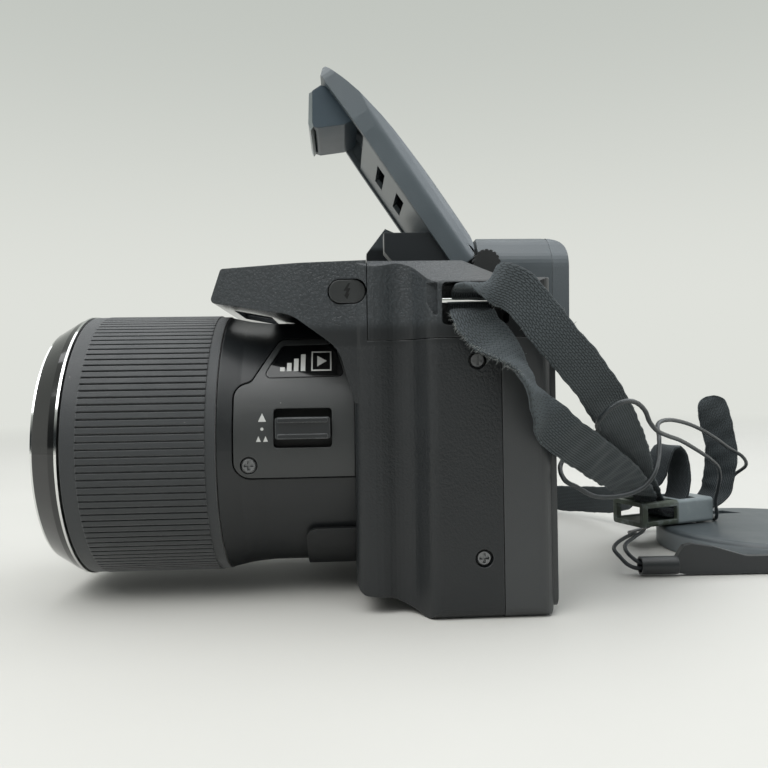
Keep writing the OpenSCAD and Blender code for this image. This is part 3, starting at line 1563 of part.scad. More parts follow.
module tether_bead() {
    color("#151617")
        translate(bead_place)
            rotate([0, 0, bead_yaw]) {
                difference() {
                    x_cylinder(0, bead_len, 0, bead_z, bead_r);
                    x_cylinder(-1, bead_len / 2, 0, bead_z, bead_bore);
                }
                along_y(-tab_half, tab_half, [
                    [bead_len - 0.5, 1, 0], [bead_len + 2, 0.4, 1], [tab_end, 0.4, 1], [tab_end, 4.6, 1],
                    [bead_len + 17, 4.6, 6], [bead_len + 9, 7, 4], [bead_len + 3.5, 7.9, 2],
                    [bead_len + 1.5, 7.4, 1], [bead_len - 0.5, 4.2, 0]
                ]);
            }
}

front_cover();
top_cover();
rear_cover();
grip_rubber();
battery_door();
battery_door_pin();
terminal_door();
terminal_block();
tripod_socket();
strap_lugs();
lens_barrel();
lens_sleeve();
lens_bezel();
lens_bright_rings();
lens_chassis();
zoom_tube_rear();
zoom_tube_front();
front_lens();
zoom_group_lens();
image_sensor();
zoom_plate();
badge_plate();
zoom_rocker();
case_screws();
flash_button();
flash_cover();
flash_inner_plate();
flash_lamp_block();
flash_window();
flash_reflector();
flash_tube();
flash_hinge_pin();
flash_spring();
evf_housing();
evf_eyecup();
evf_lens();
evf_display();
diopter_dial();
screen_window();
screen_panel();
main_board();
inner_chassis();
battery_box();
aa_cells();
flash_capacitor();
shutter_button();
zoom_lever();
mode_dial();
command_dial();
power_switch();
playback_button();
movie_button();
selector_ring();
ok_button();
neck_strap();
strap_roll();
strap_slider();
lens_cap();
cap_tether();
tether_bead();
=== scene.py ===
import math
import random

import bmesh
import bpy
import numpy as np
from mathutils import Matrix, Vector


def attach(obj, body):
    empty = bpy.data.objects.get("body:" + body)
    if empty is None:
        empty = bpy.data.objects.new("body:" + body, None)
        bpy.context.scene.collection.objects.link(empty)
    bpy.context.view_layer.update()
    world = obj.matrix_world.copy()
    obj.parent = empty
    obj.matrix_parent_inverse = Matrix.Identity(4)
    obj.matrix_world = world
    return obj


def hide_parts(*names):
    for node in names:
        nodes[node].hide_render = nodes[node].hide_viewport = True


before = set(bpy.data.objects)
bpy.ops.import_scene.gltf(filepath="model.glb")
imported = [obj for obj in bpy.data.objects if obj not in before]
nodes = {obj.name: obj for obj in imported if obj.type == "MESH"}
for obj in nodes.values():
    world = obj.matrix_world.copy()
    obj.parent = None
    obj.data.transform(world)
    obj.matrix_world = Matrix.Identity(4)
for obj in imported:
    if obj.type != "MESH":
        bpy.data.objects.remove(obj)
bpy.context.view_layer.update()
scene = bpy.context.scene
MM = 0.001
AXIS_Z = 34.3

# Camera: close to the camera's left side, almost level, turned a little towards the rear
EYE = (0.1935, -0.028, 0.0479)
turn, roll = math.radians(3.15), math.radians(0.9)
ahead = Vector((-math.cos(turn), math.sin(turn), 0))
right = Vector((math.sin(turn), math.cos(turn), 0))
across = right * math.cos(roll) - Vector((0, 0, math.sin(roll)))
upward = right * math.sin(roll) + Vector((0, 0, math.cos(roll)))
lens = bpy.data.cameras.new("photo_camera")
lens.lens = 36
lens.sensor_width = 36
lens.clip_start = 0.01
camera = bpy.data.objects.new("photo_camera", lens)
scene.collection.objects.link(camera)
facing = Matrix((across, upward, -ahead)).transposed()
camera.matrix_world = Matrix.Translation(EYE) @ facing.to_4x4()
scene.camera = camera


# Making pieces
COARSE_STEP = 1.5


def piece(name, verts, faces, body, uv=None, smooth=True):
    """A mesh piece in millimetres that rides on a body; uv is one (u, v) per vertex, in metres."""
    mesh = bpy.data.meshes.new(name)
    mesh.from_pydata((np.asarray(verts, float) * MM).tolist(), [], faces)
    if uv is not None:
        layer = mesh.uv_layers.new(name="run")
        index = np.zeros(len(mesh.loops), int)
        mesh.loops.foreach_get("vertex_index", index)
        layer.data.foreach_set("uv", np.asarray(uv, float)[index].ravel())
    mesh.polygons.foreach_set("use_smooth", [smooth] * len(mesh.polygons))
    mesh.update()
    obj = bpy.data.objects.new(name, mesh)
    scene.collection.objects.link(obj)
    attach(obj, body)
    return obj


def along(route, step, fine=math.inf):
    """A smooth curve through a route's rows: one every step millimetres, past fine a coarse step."""
    p = np.asarray(route, float)
    q = np.vstack([p[:1], p, p[-1:]])
    t = np.linspace(0, 1, 16, endpoint=False)[:, None]
    rows = []
    for a, b, c, d in zip(q, q[1:], q[2:], q[3:]):
        rows.append(0.5 * (2 * b + (c - a) * t + (2 * a - 5 * b + 4 * c - d) * t ** 2
                           + (3 * b - a - 3 * c + d) * t ** 3))
    rows = np.vstack(rows + [p[-1:]])
    far = np.concatenate([[0], np.cumsum(np.linalg.norm(np.diff(rows[:, :3], axis=0), axis=1))])
    end = min(fine, far[-1])
    at = np.concatenate([np.arange(0, end, step), np.arange(end, far[-1], COARSE_STEP), far[-1:]])
    return np.column_stack([np.interp(at, far, rows[:, k]) for k in range(p.shape[1])]), at


def unit(a):
    return a / np.maximum(np.linalg.norm(a, axis=1, keepdims=True), 1e-9)


def swept(name, rings, body, uv):
    """A closed skin over rings of points, all with the same count."""
    n, m = rings.shape[:2]
    i, j = np.meshgrid(np.arange(n - 1), np.arange(m), indexing="ij")
    k = (j + 1) % m
    quads = np.stack([i * m + j, i * m + k, (i + 1) * m + k, (i + 1) * m + j], -1).reshape(-1, 4)
    faces = quads.tolist() + [list(range(m))[::-1], list(range((n - 1) * m, n * m))]
    return piece(name, rings.reshape(-1, 3), faces, body, uv.reshape(-1, 2))


# Cords: the routes lie where the solids do; a strap's row ends with its width direction
STRAP_W, STRAP_T, TETHER_D = 9, 1.2, 1
YARN_W, YARN_LONG = 0.5, 1.0
ROW_STEP, CORD_STEP = 0.3, 0.4
FIBRE_HALF = 0.045
upper_leg = [
    (36.2, -0.8, 65.4, 0, 1, 0), (36.9, -0.8, 66.7, 0, 1, 0), (38.8, -0.6, 67.1, 0, 1, 0),
    (42.4, -0.4, 67.1, 0, 1, 0), (45, 2.8, 67.1, 0.1, 0.7, 0.7), (45.8, 6.3, 65.6, 0.1, 0.5, 0.85),
    (46, 9.5, 62.1, 0, 0.66, 0.75), (45.8, 12.5, 58.3, 0, 0.7, 0.71), (45, 15.6, 54.8, 0, 0.74, 0.67),
    (43.4, 19.3, 51.1, 0, 0.75, 0.66), (40.4, 23.4, 46.9, 0, 0.8, 0.6), (36, 27.6, 42.4, 0.05, 0.86, 0.5),
    (29, 32.2, 38, 0.12, 0.9, 0.42), (20, 37.3, 33.3, 0.25, 0.9, 0.35), (9, 42.7, 28.9, 0.4, 0.87, 0.28),
    (-2, 47.9, 24.1, 0.55, 0.8, 0.2), (-11.4, 52.4, 20.6, 0.72, 0.68, 0.1),
    (-18.6, 56.2, 18.6, 0.84, 0.54, 0),
    (-23.2, 58.9, 16.9, 0.92, 0.4, 0), (-25.3, 61.4, 14.3, 0.94, 0.34, 0), (-26.2, 63.4, 12.1, 0.94, 0.34, 0),
    (-27.2, 66.1, 11.2, 0.94, 0.34, 0), (-28.1, 68.5, 11.6, 0.94, 0.34, 0),
    (-28.8, 70.4, 13.6, 0.94, 0.34, 0),
    (-29.1, 71.3, 17, 0.94, 0.34, 0), (-29.2, 71.5, 21, 0.94, 0.34, 0), (-28.9, 70.8, 25, 0.94, 0.34, 0),
    (-28.3, 69.1, 27.8, 0.94, 0.34, 0), (-27.9, 66.9, 28, 0.94, 0.34, 0), (-28.2, 65.3, 25, 0.94, 0.34, 0),
    (-29.3, 64.2, 20.6, 0.94, 0.34, 0), (-31.5, 63.2, 18.8, 0.94, 0.3, 0.1),
    (-35.2, 61.7, 16.6, 0.92, 0.25, 0.2), (-42.6, 63.2, 13, 0.75, 0.15, 0.55),
    (-51, 62.2, 10, 0.25, 0.15, 0.95), (-60, 60, 7.9, 0, 0.1, 1), (-69, 56.4, 6.8, 0, 0, 1),
    (-79, 50.6, 5.8, 0, 0, 1), (-92, 43, 5.4, 0, 0, 1), (-109.2, 37, 5.2, 0, 0, 1),
]
lower_leg = [
    (36.2, -1.5, 64, 0, 1, 0), (36.9, -1.5, 62.7, 0, 1, 0), (38.9, -1.4, 62.2, 0, 1, 0),
    (41.6, -1.5, 61.2, -0, 0.98, 0.2), (42.8, 0.3, 58.1, -0.34, 0.71, 0.62), (44, 3.6, 55, -0.6, 0.54, 0.59),
    (45.2, 6.2, 51.8, -0.84, 0.39, 0.39), (45.8, 8, 48.9, -0.93, 0.34, 0.13),
    (45.8, 9.1, 46.1, -0.92, 0.39, 0.1), (45, 10.9, 42.8, -0.69, 0.69, 0.22),
    (43.2, 13.7, 39.3, -0.24, 0.8, 0.55), (40.6, 17.9, 36, -0, 0.7, 0.71), (35, 23.8, 32.6, 0.05, 0.66, 0.75),
    (26, 30.7, 28.7, 0.12, 0.7, 0.7), (14, 38.3, 24.9, 0.3, 0.75, 0.6), (0, 46, 20.4, 0.5, 0.8, 0.34),
    (-10, 51, 18.2, 0.68, 0.72, 0.15), (-17.4, 54.8, 16.4, 0.82, 0.57, 0), (-23.1, 57.5, 15.4, 0.92, 0.4, 0),
    (-25, 60, 12.2, 0.94, 0.34, 0), (-25.8, 62.1, 9.6, 0.94, 0.34, 0), (-26.8, 64.9, 8.7, 0.94, 0.34, 0),
    (-28.7, 70.2, 8.7, 0.94, 0.34, 0), (-30.4, 74.9, 8.7, 0.94, 0.34, 0), (-31.7, 78.5, 9, 0.94, 0.34, 0),
    (-32.4, 81, 11.2, 0.92, 0.4, 0), (-31, 83.5, 15.2, 0.75, 0.66, 0), (-29.5, 84.1, 21.3, 0.5, 0.86, 0),
    (-28, 83.8, 27.4, 0.3, 0.95, 0), (-27, 82.1, 33.7, 0.2, 0.97, 0.1), (-26, 80.2, 40.3, 0.15, 0.98, 0.12),
    (-26, 79.7, 42.9, 0.15, 0.98, 0.12),
]
ROLL_X, ROLL_Y, ROLL_Z, ROLL_R, ROLL_PITCH = -118, 6, 5.2, 29, 4.4
ROLL_STEPS = 24
stored = []
for i in range(3 * ROLL_STEPS + 1):
    a = math.radians(100 + 360 / ROLL_STEPS * i)
    r = ROLL_R - ROLL_PITCH * i / ROLL_STEPS
    stored.append((ROLL_X + r * math.cos(a), ROLL_Y + r * math.sin(a), ROLL_Z, 0, 0, 1))
to_right_lug = [
    (-126.6, 20.5, 5.2, 0, 0, 1), (-130, 13.6, 5.3, 0, 0, 1), (-127, 7.4, 5.8, 0.35, 0.35, 0.85),
    (-121, 4, 7, 0.25, 0.85, 0.45), (-114.4, 2.8, 9.4, 0.1, 1, 0.1), (-109.4, 2, 14.4, 0, 1, 0),
    (-106, 1.2, 21, 0, 1, 0), (-102.6, 0.4, 28, 0, 1, 0), (-98.6, -0.4, 35.4, 0, 1, 0),
    (-94, -1.2, 43.4, 0, 1, 0), (-89.8, -1.8, 51.2, 0, 1, 0), (-86, -2, 58, 0, 1, 0),
    (-83, -2, 61.6, 0, 1, 0), (-80.6, -2, 62.1, 0, 1, 0), (-78.9, -2, 60.9, 0, 1, 0),
]
tether_route = [
    (-27, 60, 4.6), (-22, 57.6, 4.9), (-16, 54.6, 5.5), (-10, 51, 6), (-4, 47.2, 6.2), (1, 43.8, 6.1),
    (4.8, 42.2, 5.8), (7.6, 41.9, 5.1), (9.2, 42.9, 4), (9.6, 44.3, 3.25), (9.68, 45.9, 3.1),
    (9.7, 46.3, 2.6),
    (9.72, 45.9, 2.1), (9.6, 43.2, 2), (9, 41.2, 2.8), (7.6, 39.9, 4.3), (4.4, 39.5, 5.6), (0.2, 41.8, 6.2),
    (-5.4, 45.9, 6.3), (-11, 49.9, 6), (-16.4, 53, 5.2), (-21, 54.6, 4.2), (-27, 55.8, 3.2), (-33, 57.6, 2.2),
    (-39, 61.6, 1.4), (-43.6, 67, 1.4), (-46.2, 73.4, 3.4), (-46.4, 79.6, 7), (-44.6, 85, 11.2),
    (-40.8, 88.8, 14.6), (-36.6, 90.6, 17), (-33.4, 91.2, 19.2), (-29, 91.8, 22), (-23.4, 87.8, 25.2),
    (-19, 81.5, 28.2), (-12, 74, 31.7), (-5, 66.5, 34.7), (2, 59.3, 36.8), (11, 51.2, 38.1), (17, 46, 37.5),
    (21.5, 44.3, 34.6), (25.5, 42.5, 31.1), (29, 40.1, 27.8), (30, 37.4, 24.9), (31.5, 33.5, 23.5),
    (33.5, 28.8, 23.2), (35.5, 24.3, 23.8), (37.5, 20.3, 25.9), (38.2, 17.4, 27.6), (34.6, 17.5, 30),
    (31.6, 20.2, 32.6), (30.6, 23.8, 34.8), (32.6, 26.2, 37), (36.8, 24.8, 38.6), (41.4, 24, 40.4),
    (43.4, 26, 42.8), (42, 29, 43.7), (39, 32.4, 43.2), (35.5, 35.5, 41.4), (33, 37.5, 38.9),
    (29, 40.8, 36.7),
    (21.5, 46.4, 35), (12.5, 53.5, 33.1), (1, 62.8, 29.7), (-8, 70.6, 26.4), (-14.5, 76, 23.4),
    (-19.5, 79, 20),
    (-22.5, 79.9, 16.1), (-24.3, 80, 12.4), (-25, 80.7, 8.6), (-27.2, 81.4, 6.8), (-31, 82.4, 6.5),
]


def webbing(name, route, fine, round_end, crumple):
    """Woven strap: slanting floats of yarn raised on both faces, thinner rounded edges, an end that is cut
    round where round_end is its length, and a worn strip's shallow creases, crumple deep."""
    rows, at = along(route, ROW_STEP, fine)
    p = rows[:, :3]
    slope = unit(np.gradient(p, axis=0))
    n = unit(np.cross(slope, rows[:, 3:]))
    w = unit(np.cross(n, slope))
    yarns = round(STRAP_W / YARN_W)
    v = np.linspace(-1, 1, 3 * yarns + 1)
    body = STRAP_T / 2 * (1 - 0.55 * np.abs(v) ** 10)
    end = (v[None, :] + 1) / 2 * yarns
    slant = (1 - np.abs(end % 2 - 1)) * YARN_W
    float_at = (at[:, None] + slant) / YARN_LONG + 0.5 * (np.floor(end - 1e-6) % 2 == 0)
    yarn = np.sqrt(np.abs(np.sin(math.pi * float_at) * np.sin(math.pi * end)))
    wavy = 0.08 * np.sin(at / 1.7) + 0.06 * np.sin(at / 0.61 + 1)
    narrow = np.ones(len(at))
    if round_end:
        into = np.clip((at - at[-1] + round_end) / round_end, 0, 1)
        narrow = np.sqrt(1 - (0.97 * into) ** 2)
    half = ((STRAP_W / 2 - 0.1 + wavy) * narrow)[:, None] * v[None, :]
    over = body[None, :] - 0.12 + 0.17 * yarn
    crease = np.sin(at[:, None] / 1.9 + 1.7 * v) + 0.6 * np.sin(at[:, None] / 0.83 - 2.3 * v + 1)
    middle = p[:, None] + w[:, None] * half[..., None] + n[:, None] * (crumple * crease)[..., None]
    top = middle + n[:, None] * over[..., None]
    low = middle - n[:, None] * over[..., None]
    rings = np.concatenate([top, low[:, ::-1]], 1)
    u = np.repeat(at[:, None], rings.shape[1], 1)
    side = np.repeat((np.concatenate([v, v[::-1]])[None, :] + 1) * STRAP_W / 2, len(at), 0)
    obj = swept(name, rings, "camera_body", np.stack([u, side], -1) * MM)
    return obj, p, w, n


def hairs(name, strips, seed):
    """Loose fibres on the webbing's edges, each a thin bent sliver; a strip is (points, width, normal,
    side or 0 for both, first row, last row, count, length mm)."""
    rng = random.Random(seed)
    verts, faces = [], []
    for p, w, n, which, first_row, last_row, count, long in strips:
        for _ in range(count):
            i = rng.randrange(first_row, last_row)
            side = which or rng.choice((-1, 1))
            out = w[i] * side + n[i] * rng.uniform(-0.9, 0.9)
            out = out + np.array([rng.uniform(-0.5, 0.5) for _ in range(3)])
            out = out / np.linalg.norm(out)
            sway = np.array([rng.uniform(-1, 1) for _ in range(3)])
            size = long * rng.uniform(0.4, 1.2) * (1.6 if rng.random() < 0.08 else 1)
            inset = rng.uniform(0.15, 0.8)
            base = p[i] + w[i] * side * (STRAP_W / 2 - inset) + n[i] * rng.uniform(-0.5, 0.5)
            flat = np.cross(out, sway)
            flat = flat / np.linalg.norm(flat) * FIBRE_HALF
            first = len(verts)
            for k in range(4):
                t = k / 3
                c = base + out * size * t + sway * size * 0.35 * t * t
                verts += [c - flat * (1 - 0.6 * t), c + flat * (1 - 0.6 * t)]
            for k in range(first, first + 6, 2):
                faces.append((k, k + 1, k + 3, k + 2))
    return piece(name, verts, faces, "camera_body")


def round_cord(name, route):
    """Thin cord for the lens cap, with the shallow spiral of a braid."""
    rows, at = along(route, CORD_STEP)
    slope = unit(np.gradient(rows, axis=0))
    side = np.cross(slope[0], (0, 0, 1))
    u = []
    for s in slope:
        side = side - s * np.dot(side, s)
        side = side / np.linalg.norm(side)
        u.append(side)
    u = np.array(u)
    b = np.cross(slope, u)
    sides = 14
    a = np.linspace(0, 2 * math.pi, sides, endpoint=False)
    r = TETHER_D / 2 * (1 + 0.03 * np.sin(2 * a[None, :] + at[:, None] * 2.4))
    rings = rows[:, None] + (u[:, None] * np.cos(a)[None, :, None]
                             + b[:, None] * np.sin(a)[None, :, None]) * r[..., None]
    uv = np.stack([np.repeat(at[:, None], sides, 1), np.repeat(a[None, :] * TETHER_D / 2, len(at), 0)], -1)
    return swept(name, rings, "camera_body", uv * MM), rows


main_strap, main_p, main_w, main_n = webbing(
    "strap_main_run", upper_leg + stored + to_right_lug, 130, 0, 0.03)
tail_strap, tail_p, tail_w, tail_n = webbing(
    "strap_adjusting_tail", lower_leg, math.inf, 3.5, 0.2)
fuzz = hairs("strap_fibres", [
    (main_p, main_w, main_n, 0, 8, 520, 300, 0.55),
    (tail_p, tail_w, tail_n, 0, 8, len(tail_p) - 12, 320, 0.55),
    (tail_p, tail_w, tail_n, -1, 18, 75, 420, 0.8),
], 5)
tether, tether_rows = round_cord("cap_cord", tether_route)
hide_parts("neck_strap", "strap_roll")
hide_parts("neck_strap")
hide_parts("cap_tether")


# Printed and inlaid marks, all plain signs
MARK_STEP, LIFT = 0.8, 0.03


def reach(name):
    """Least and greatest corner of a solid, in millimetres."""
    corners = np.array([nodes[name].matrix_world @ Vector(c) for c in nodes[name].bound_box]) / MM
    return corners.min(0), corners.max(0)


def bar(a0, b0, a1, b1):
    return [(a0, b0), (a1, b0), (a1, b1), (a0, b1)]


def disc(a, b, r):
    turns = np.linspace(0, 2 * math.pi, 20, endpoint=False)
    return [(a + r * math.cos(t), b + r * math.sin(t)) for t in turns]


def line_round(corners, width):
    """Thin line round a closed outline, as one strip for each side."""
    mid = np.mean(corners, axis=0)
    inner = [tuple(c + (mid - c) * width / np.linalg.norm(mid - c)) for c in np.asarray(corners, float)]
    n = len(corners)
    return [[corners[i], corners[(i + 1) % n], inner[(i + 1) % n], inner[i]] for i in range(n)]


def marks(name, body, shapes, place):
    """Thin marks: each shape is an outline of (a, b) points, cut into short steps of b so that it follows a
    round part, and place turns each point into one on the part."""
    flat = bmesh.new()
    for shape in shapes:
        flat.faces.new([flat.verts.new((a, b, 0)) for a, b in shape])
    bottom = min(v.co.y for v in flat.verts)
    top = max(v.co.y for v in flat.verts)
    for level in np.arange(bottom + MARK_STEP, top, MARK_STEP):
        bmesh.ops.bisect_plane(flat, geom=flat.verts[:] + flat.edges[:] + flat.faces[:],
                               plane_co=(0, level, 0), plane_no=(0, 1, 0))
    flat.verts.index_update()
    verts = [place(v.co.x, v.co.y) for v in flat.verts]
    faces = [[v.index for v in f.verts] for f in flat.faces]
    flat.free()
    return piece(name, verts, faces, body, smooth=False)


def on_barrel(radius):
    """Places (y, z) on the left side of the lens barrel."""
    return lambda y, z: (math.sqrt(radius ** 2 - (z - AXIS_Z) ** 2), y, z)


def on_rear(name):
    """Places (right, up) from the middle of a rear control, as seen from behind."""
    low, high = reach(name)
    mid = (low + high) / 2
    return lambda a, b: (mid[0] - a, high[1] + LIFT, mid[2] + b)


def on_top(name):
    """Places (right, back) from the middle of a control on top."""
    low, high = reach(name)
    mid = (low + high) / 2
    return lambda a, b: (mid[0] + a, mid[1] + b, high[2] + LIFT)


PLATE_R = 30.2
SIGN_Y, TELE_Z, REST_Z, WIDE_Z = -45, 40.3, 38.75, 36.1
badge_signs = [bar(-41.4 + 1.5 * k, 51, -40.4 + 1.5 * k, 51.9 + 0.95 * k) for k in range(4)]
badge_signs += line_round([(-34.6, 51), (-30.2, 51), (-30.2, 55.4), (-34.6, 55.4)], 0.42)
badge_signs.append([(-33.3, 52), (-31.2, 53.2), (-33.3, 54.4)])
zoom_signs = [[(SIGN_Y - 0.85, TELE_Z), (SIGN_Y + 0.85, TELE_Z), (SIGN_Y, TELE_Z + 1.8)]]
zoom_signs.append(disc(SIGN_Y, REST_Z, 0.33))
zoom_signs += [[(SIGN_Y + k - 0.5, WIDE_Z), (SIGN_Y + k + 0.5, WIDE_Z), (SIGN_Y + k, WIDE_Z + 1.2)]
               for k in (-0.75, 0.75)]
bolt = [(0.25, 1.7), (-0.75, 0.1), (-0.1, 0.1), (-0.45, -0.75), (-0.75, -0.6), (0, -1.7),
        (0.55, -0.45), (0.2, -0.5), (0.75, 0.65), (0.15, 0.65), (0.7, 1.7)]
button_low, button_high = reach("flash_button")
button_mid = (button_low + button_high) / 2
rear_arrows = []
for k in range(4):
    c, s = round(math.cos(k * math.pi / 2)), round(math.sin(k * math.pi / 2))
    rear_arrows.append([(c * a - s * b, s * a + c * b) for a, b in ((7.6, -0.7), (8.6, 0), (7.6, 0.7))])
dial_signs = [[(math.cos(t) * r - math.sin(t) * d, math.sin(t) * r + math.cos(t) * d)
               for r, d in ((5.6, -0.35), (7.6, -0.35), (7.6, 0.35), (5.6, 0.35))]
              for t in np.linspace(0, 2 * math.pi, 12, endpoint=False)]
silver_signs = [
    marks("badge_signs", "camera_body", badge_signs, on_barrel(PLATE_R)),
    marks("zoom_signs", "camera_body", zoom_signs, on_barrel(PLATE_R + LIFT)),
    marks("dial_signs", "mode", dial_signs, on_top("mode_dial")),
    marks("play_sign", "playback", [[(-1, -1.2), (1.2, 0), (-1, 1.2)]], on_rear("playback_button")),
    marks("selector_signs", "selector", rear_arrows, on_rear("selector_ring")),
]
bolt_sign = marks("bolt_sign", "flash_release", [bolt],
                  lambda a, b: (button_high[0] + LIFT, button_mid[1] + a, button_mid[2] + b))
movie_dot = marks("movie_dot", "movie", [disc(0, 0, 1.3)], on_rear("movie_button"))


# Materials
def lin(code):
    """An sRGB hex colour as linear light."""
    c = [int(code[i:i + 2], 16) / 255 for i in (1, 3, 5)]
    return tuple(v / 12.92 if v <= 0.04045 else ((v + 0.055) / 1.055) ** 2.4 for v in c) + (1,)


def scaled(colour, k):
    return tuple(c * k for c in colour[:3]) + (1,)


def add(tree, kind, sockets=None, **settings):
    """Adds a node with its settings, sets or links its sockets, and gives its outputs."""
    new = tree.nodes.new("ShaderNode" + kind)
    for key, value in settings.items():
        setattr(new, key, value)
    for key, value in (sockets or {}).items():
        if isinstance(value, bpy.types.NodeSocket):
            tree.links.new(value, new.inputs[key])
        else:
            new.inputs[key].default_value = value
    return new.outputs


SMOOTH = {"interpolation_type": "SMOOTHSTEP"}
COLOUR = {"data_type": "RGBA"}


def surface(name, build):
    """A material whose Principled sockets come from build(tree, place); place is metres in the frame."""
    new = bpy.data.materials.new(name)
    new.use_nodes = True
    tree = new.node_tree
    tree.nodes.clear()
    place = add(tree, "TexCoord")["Object"]
    shader = add(tree, "BsdfPrincipled", build(tree, place))[0]
    add(tree, "OutputMaterial", {"Surface": shader})
    return new


def dusted(tree, place, colour, cell_mm, share, size, pale):
    """Sparse dust and lint: a pale dot in that share of the cells."""
    cell = add(tree, "TexVoronoi", {"Vector": place, "Scale": 1000 / cell_mm, "Randomness": 1.0})
    dot = add(tree, "MapRange", {0: cell["Distance"], 1: size, 2: size * 0.5, 3: 0.0, 4: 1.0}, **SMOOTH)[0]
    lucky = add(tree, "SeparateColor", {0: cell["Color"]})[0]
    chosen = add(tree, "Math", {0: lucky, 1: 1 - share}, operation="GREATER_THAN")[0]
    grit = add(tree, "Math", {0: dot, 1: chosen}, operation="MULTIPLY")[0]
    return add(tree, "Mix", {0: grit, 6: colour, 7: lin(pale)}, **COLOUR)[2]


def rubbed(tree, place, colour, amount, pale):
    """Edges polished pale by handling, in patches, and the normal rounded over 0.3 mm; at a large amount, as
    on the zoom rocker, the pale edges are mostly a painted highlight.
    """
    soft = add(tree, "Bevel", {"Radius": 0.3 * MM}, samples=4)[0]
    flat = add(tree, "NewGeometry")["Normal"]
    same = add(tree, "VectorMath", {0: soft, 1: flat}, operation="DOT_PRODUCT")["Value"]
    edge = add(tree, "MapRange", {0: same, 1: 0.985, 2: 0.85, 3: 0.0, 4: amount}, **SMOOTH)[0]
    patchy = add(tree, "TexNoise", {"Vector": place, "Scale": 1000 / 3, "Detail": 3.0})[0]
    worn = add(tree, "Math", {0: edge, 1: patchy}, operation="MULTIPLY")[0]
    return add(tree, "Mix", {0: worn, 6: colour, 7: lin(pale)}, **COLOUR)[2], soft


def moulded(code, rough, grains=(), dust=0.0, edge_wear_and_highlight=0.0, patch=12, spread=0.18, sheen=0.0, coat=0.0,
            under=None):
    """Moulded plastic or rubber: pebbled grain raised by bump with a painted highlight on its crowns, uneven
    gloss, edges pale from rubbing and, at a large amount, from a painted highlight, and dust. Each grain is
    (cell mm, depth mm, how strong the painted highlight on its crowns is, region or None), and under is the
    roughness of the faces that look down, which a polished core leaves without grain."""
    def build(tree, place):
        base = lin(code)
        if under:
            facing = add(tree, "SeparateXYZ", {0: add(tree, "NewGeometry")["Normal"]})[2]
            grained = add(tree, "MapRange", {0: facing, 1: -0.75, 2: -0.35, 3: 0.0, 4: 1.0}, **SMOOTH)[0]
        patches = add(tree, "TexNoise", {"Vector": place, "Scale": 1000 / patch, "Detail": 3.0})[0]
        colour = add(tree, "Mix", {0: patches, 6: scaled(base, 1 - spread), 7: scaled(base, 1 + spread)},
                     **COLOUR)[2]
        colour, normal = rubbed(tree, place, colour, edge_wear_and_highlight, "#8c8f90")
        for mm, depth, crowns, region in grains:
            cell = add(tree, "TexVoronoi", {"Vector": place, "Scale": 1000 / mm, "Smoothness": 0.35},
                       feature="SMOOTH_F1")["Distance"]
            pits = add(tree, "TexNoise", {"Vector": place, "Scale": 2500 / mm, "Detail": 2.0})[0]
            height = add(tree, "Math", {0: pits, 1: cell}, operation="SUBTRACT")[0]
            strength = region(tree, place) if region else 1.0
            if under:
                strength = add(tree, "Math", {0: strength, 1: grained}, operation="MULTIPLY")[0]
            # Painted highlight: the crowns of the grain are mixed towards four times the base colour
            painted_crown_highlight = add(tree, "MapRange", {0: height, 1: -0.2, 2: 0.4, 3: crowns * 0.6, 4: crowns},
                        **SMOOTH)[0]
            painted_crown_highlight = add(tree, "Math", {0: painted_crown_highlight, 1: strength}, operation="MULTIPLY")[0]
            colour = add(tree, "Mix", {0: painted_crown_highlight, 6: colour, 7: scaled(base, 4.0)}, **COLOUR)[2]
            normal = add(tree, "Bump", {"Height": height, "Strength": strength, "Distance": depth * MM,
                                        "Normal": normal})[0]
        if dust:
            colour = dusted(tree, place, colour, 2.2, dust, 0.055, "#8d8d88")
        gloss = add(tree, "MapRange", {0: patches, 1: 0.25, 2: 0.75, 3: rough - 0.05, 4: rough + 0.06},
                    **SMOOTH)[0]
        if under:
            gloss = add(tree, "MapRange", {0: grained, 1: 0.0, 2: 1.0, 3: under, 4: gloss})[0]
        return {"Base Color": colour, "Roughness": gloss, "Normal": normal, "IOR": 1.53,
                "Sheen Weight": sheen, "Sheen Roughness": 0.5, "Coat Weight": coat, "Coat Roughness": 0.12}
    return build


def hood_region(tree, place):
    """The hood over the lens and the shoulder round the flash button, where the grain is coarse and its
    crowns carry a strong painted highlight.
    """
    part = add(tree, "SeparateXYZ", {0: place})
    high = add(tree, "MapRange", {0: part[2], 1: 0.0585, 2: 0.0615, 3: 0.0, 4: 1.0}, **SMOOTH)[0]
    fore = add(tree, "MapRange", {0: part[1], 1: 0.004, 2: -0.004, 3: 0.0, 4: 1.0}, **SMOOTH)[0]
    return add(tree, "Math", {0: high, 1: fore}, operation="MULTIPLY")[0]


def panel_region(tree, place):
    """The side below the shoulder seam, where the grain is fine; the grain and the painted highlight on its
    crowns fade towards the base.
    """
    part = add(tree, "SeparateXYZ", {0: place})
    low = add(tree, "MapRange", {0: part[2], 1: 0.0565, 2: 0.0555, 3: 0.0, 4: 1.0}, **SMOOTH)[0]
    fade = add(tree, "MapRange", {0: part[2], 1: 0.004, 2: 0.034, 3: 0.25, 4: 1.0}, **SMOOTH)[0]
    return add(tree, "Math", {0: low, 1: fade}, operation="MULTIPLY")[0]


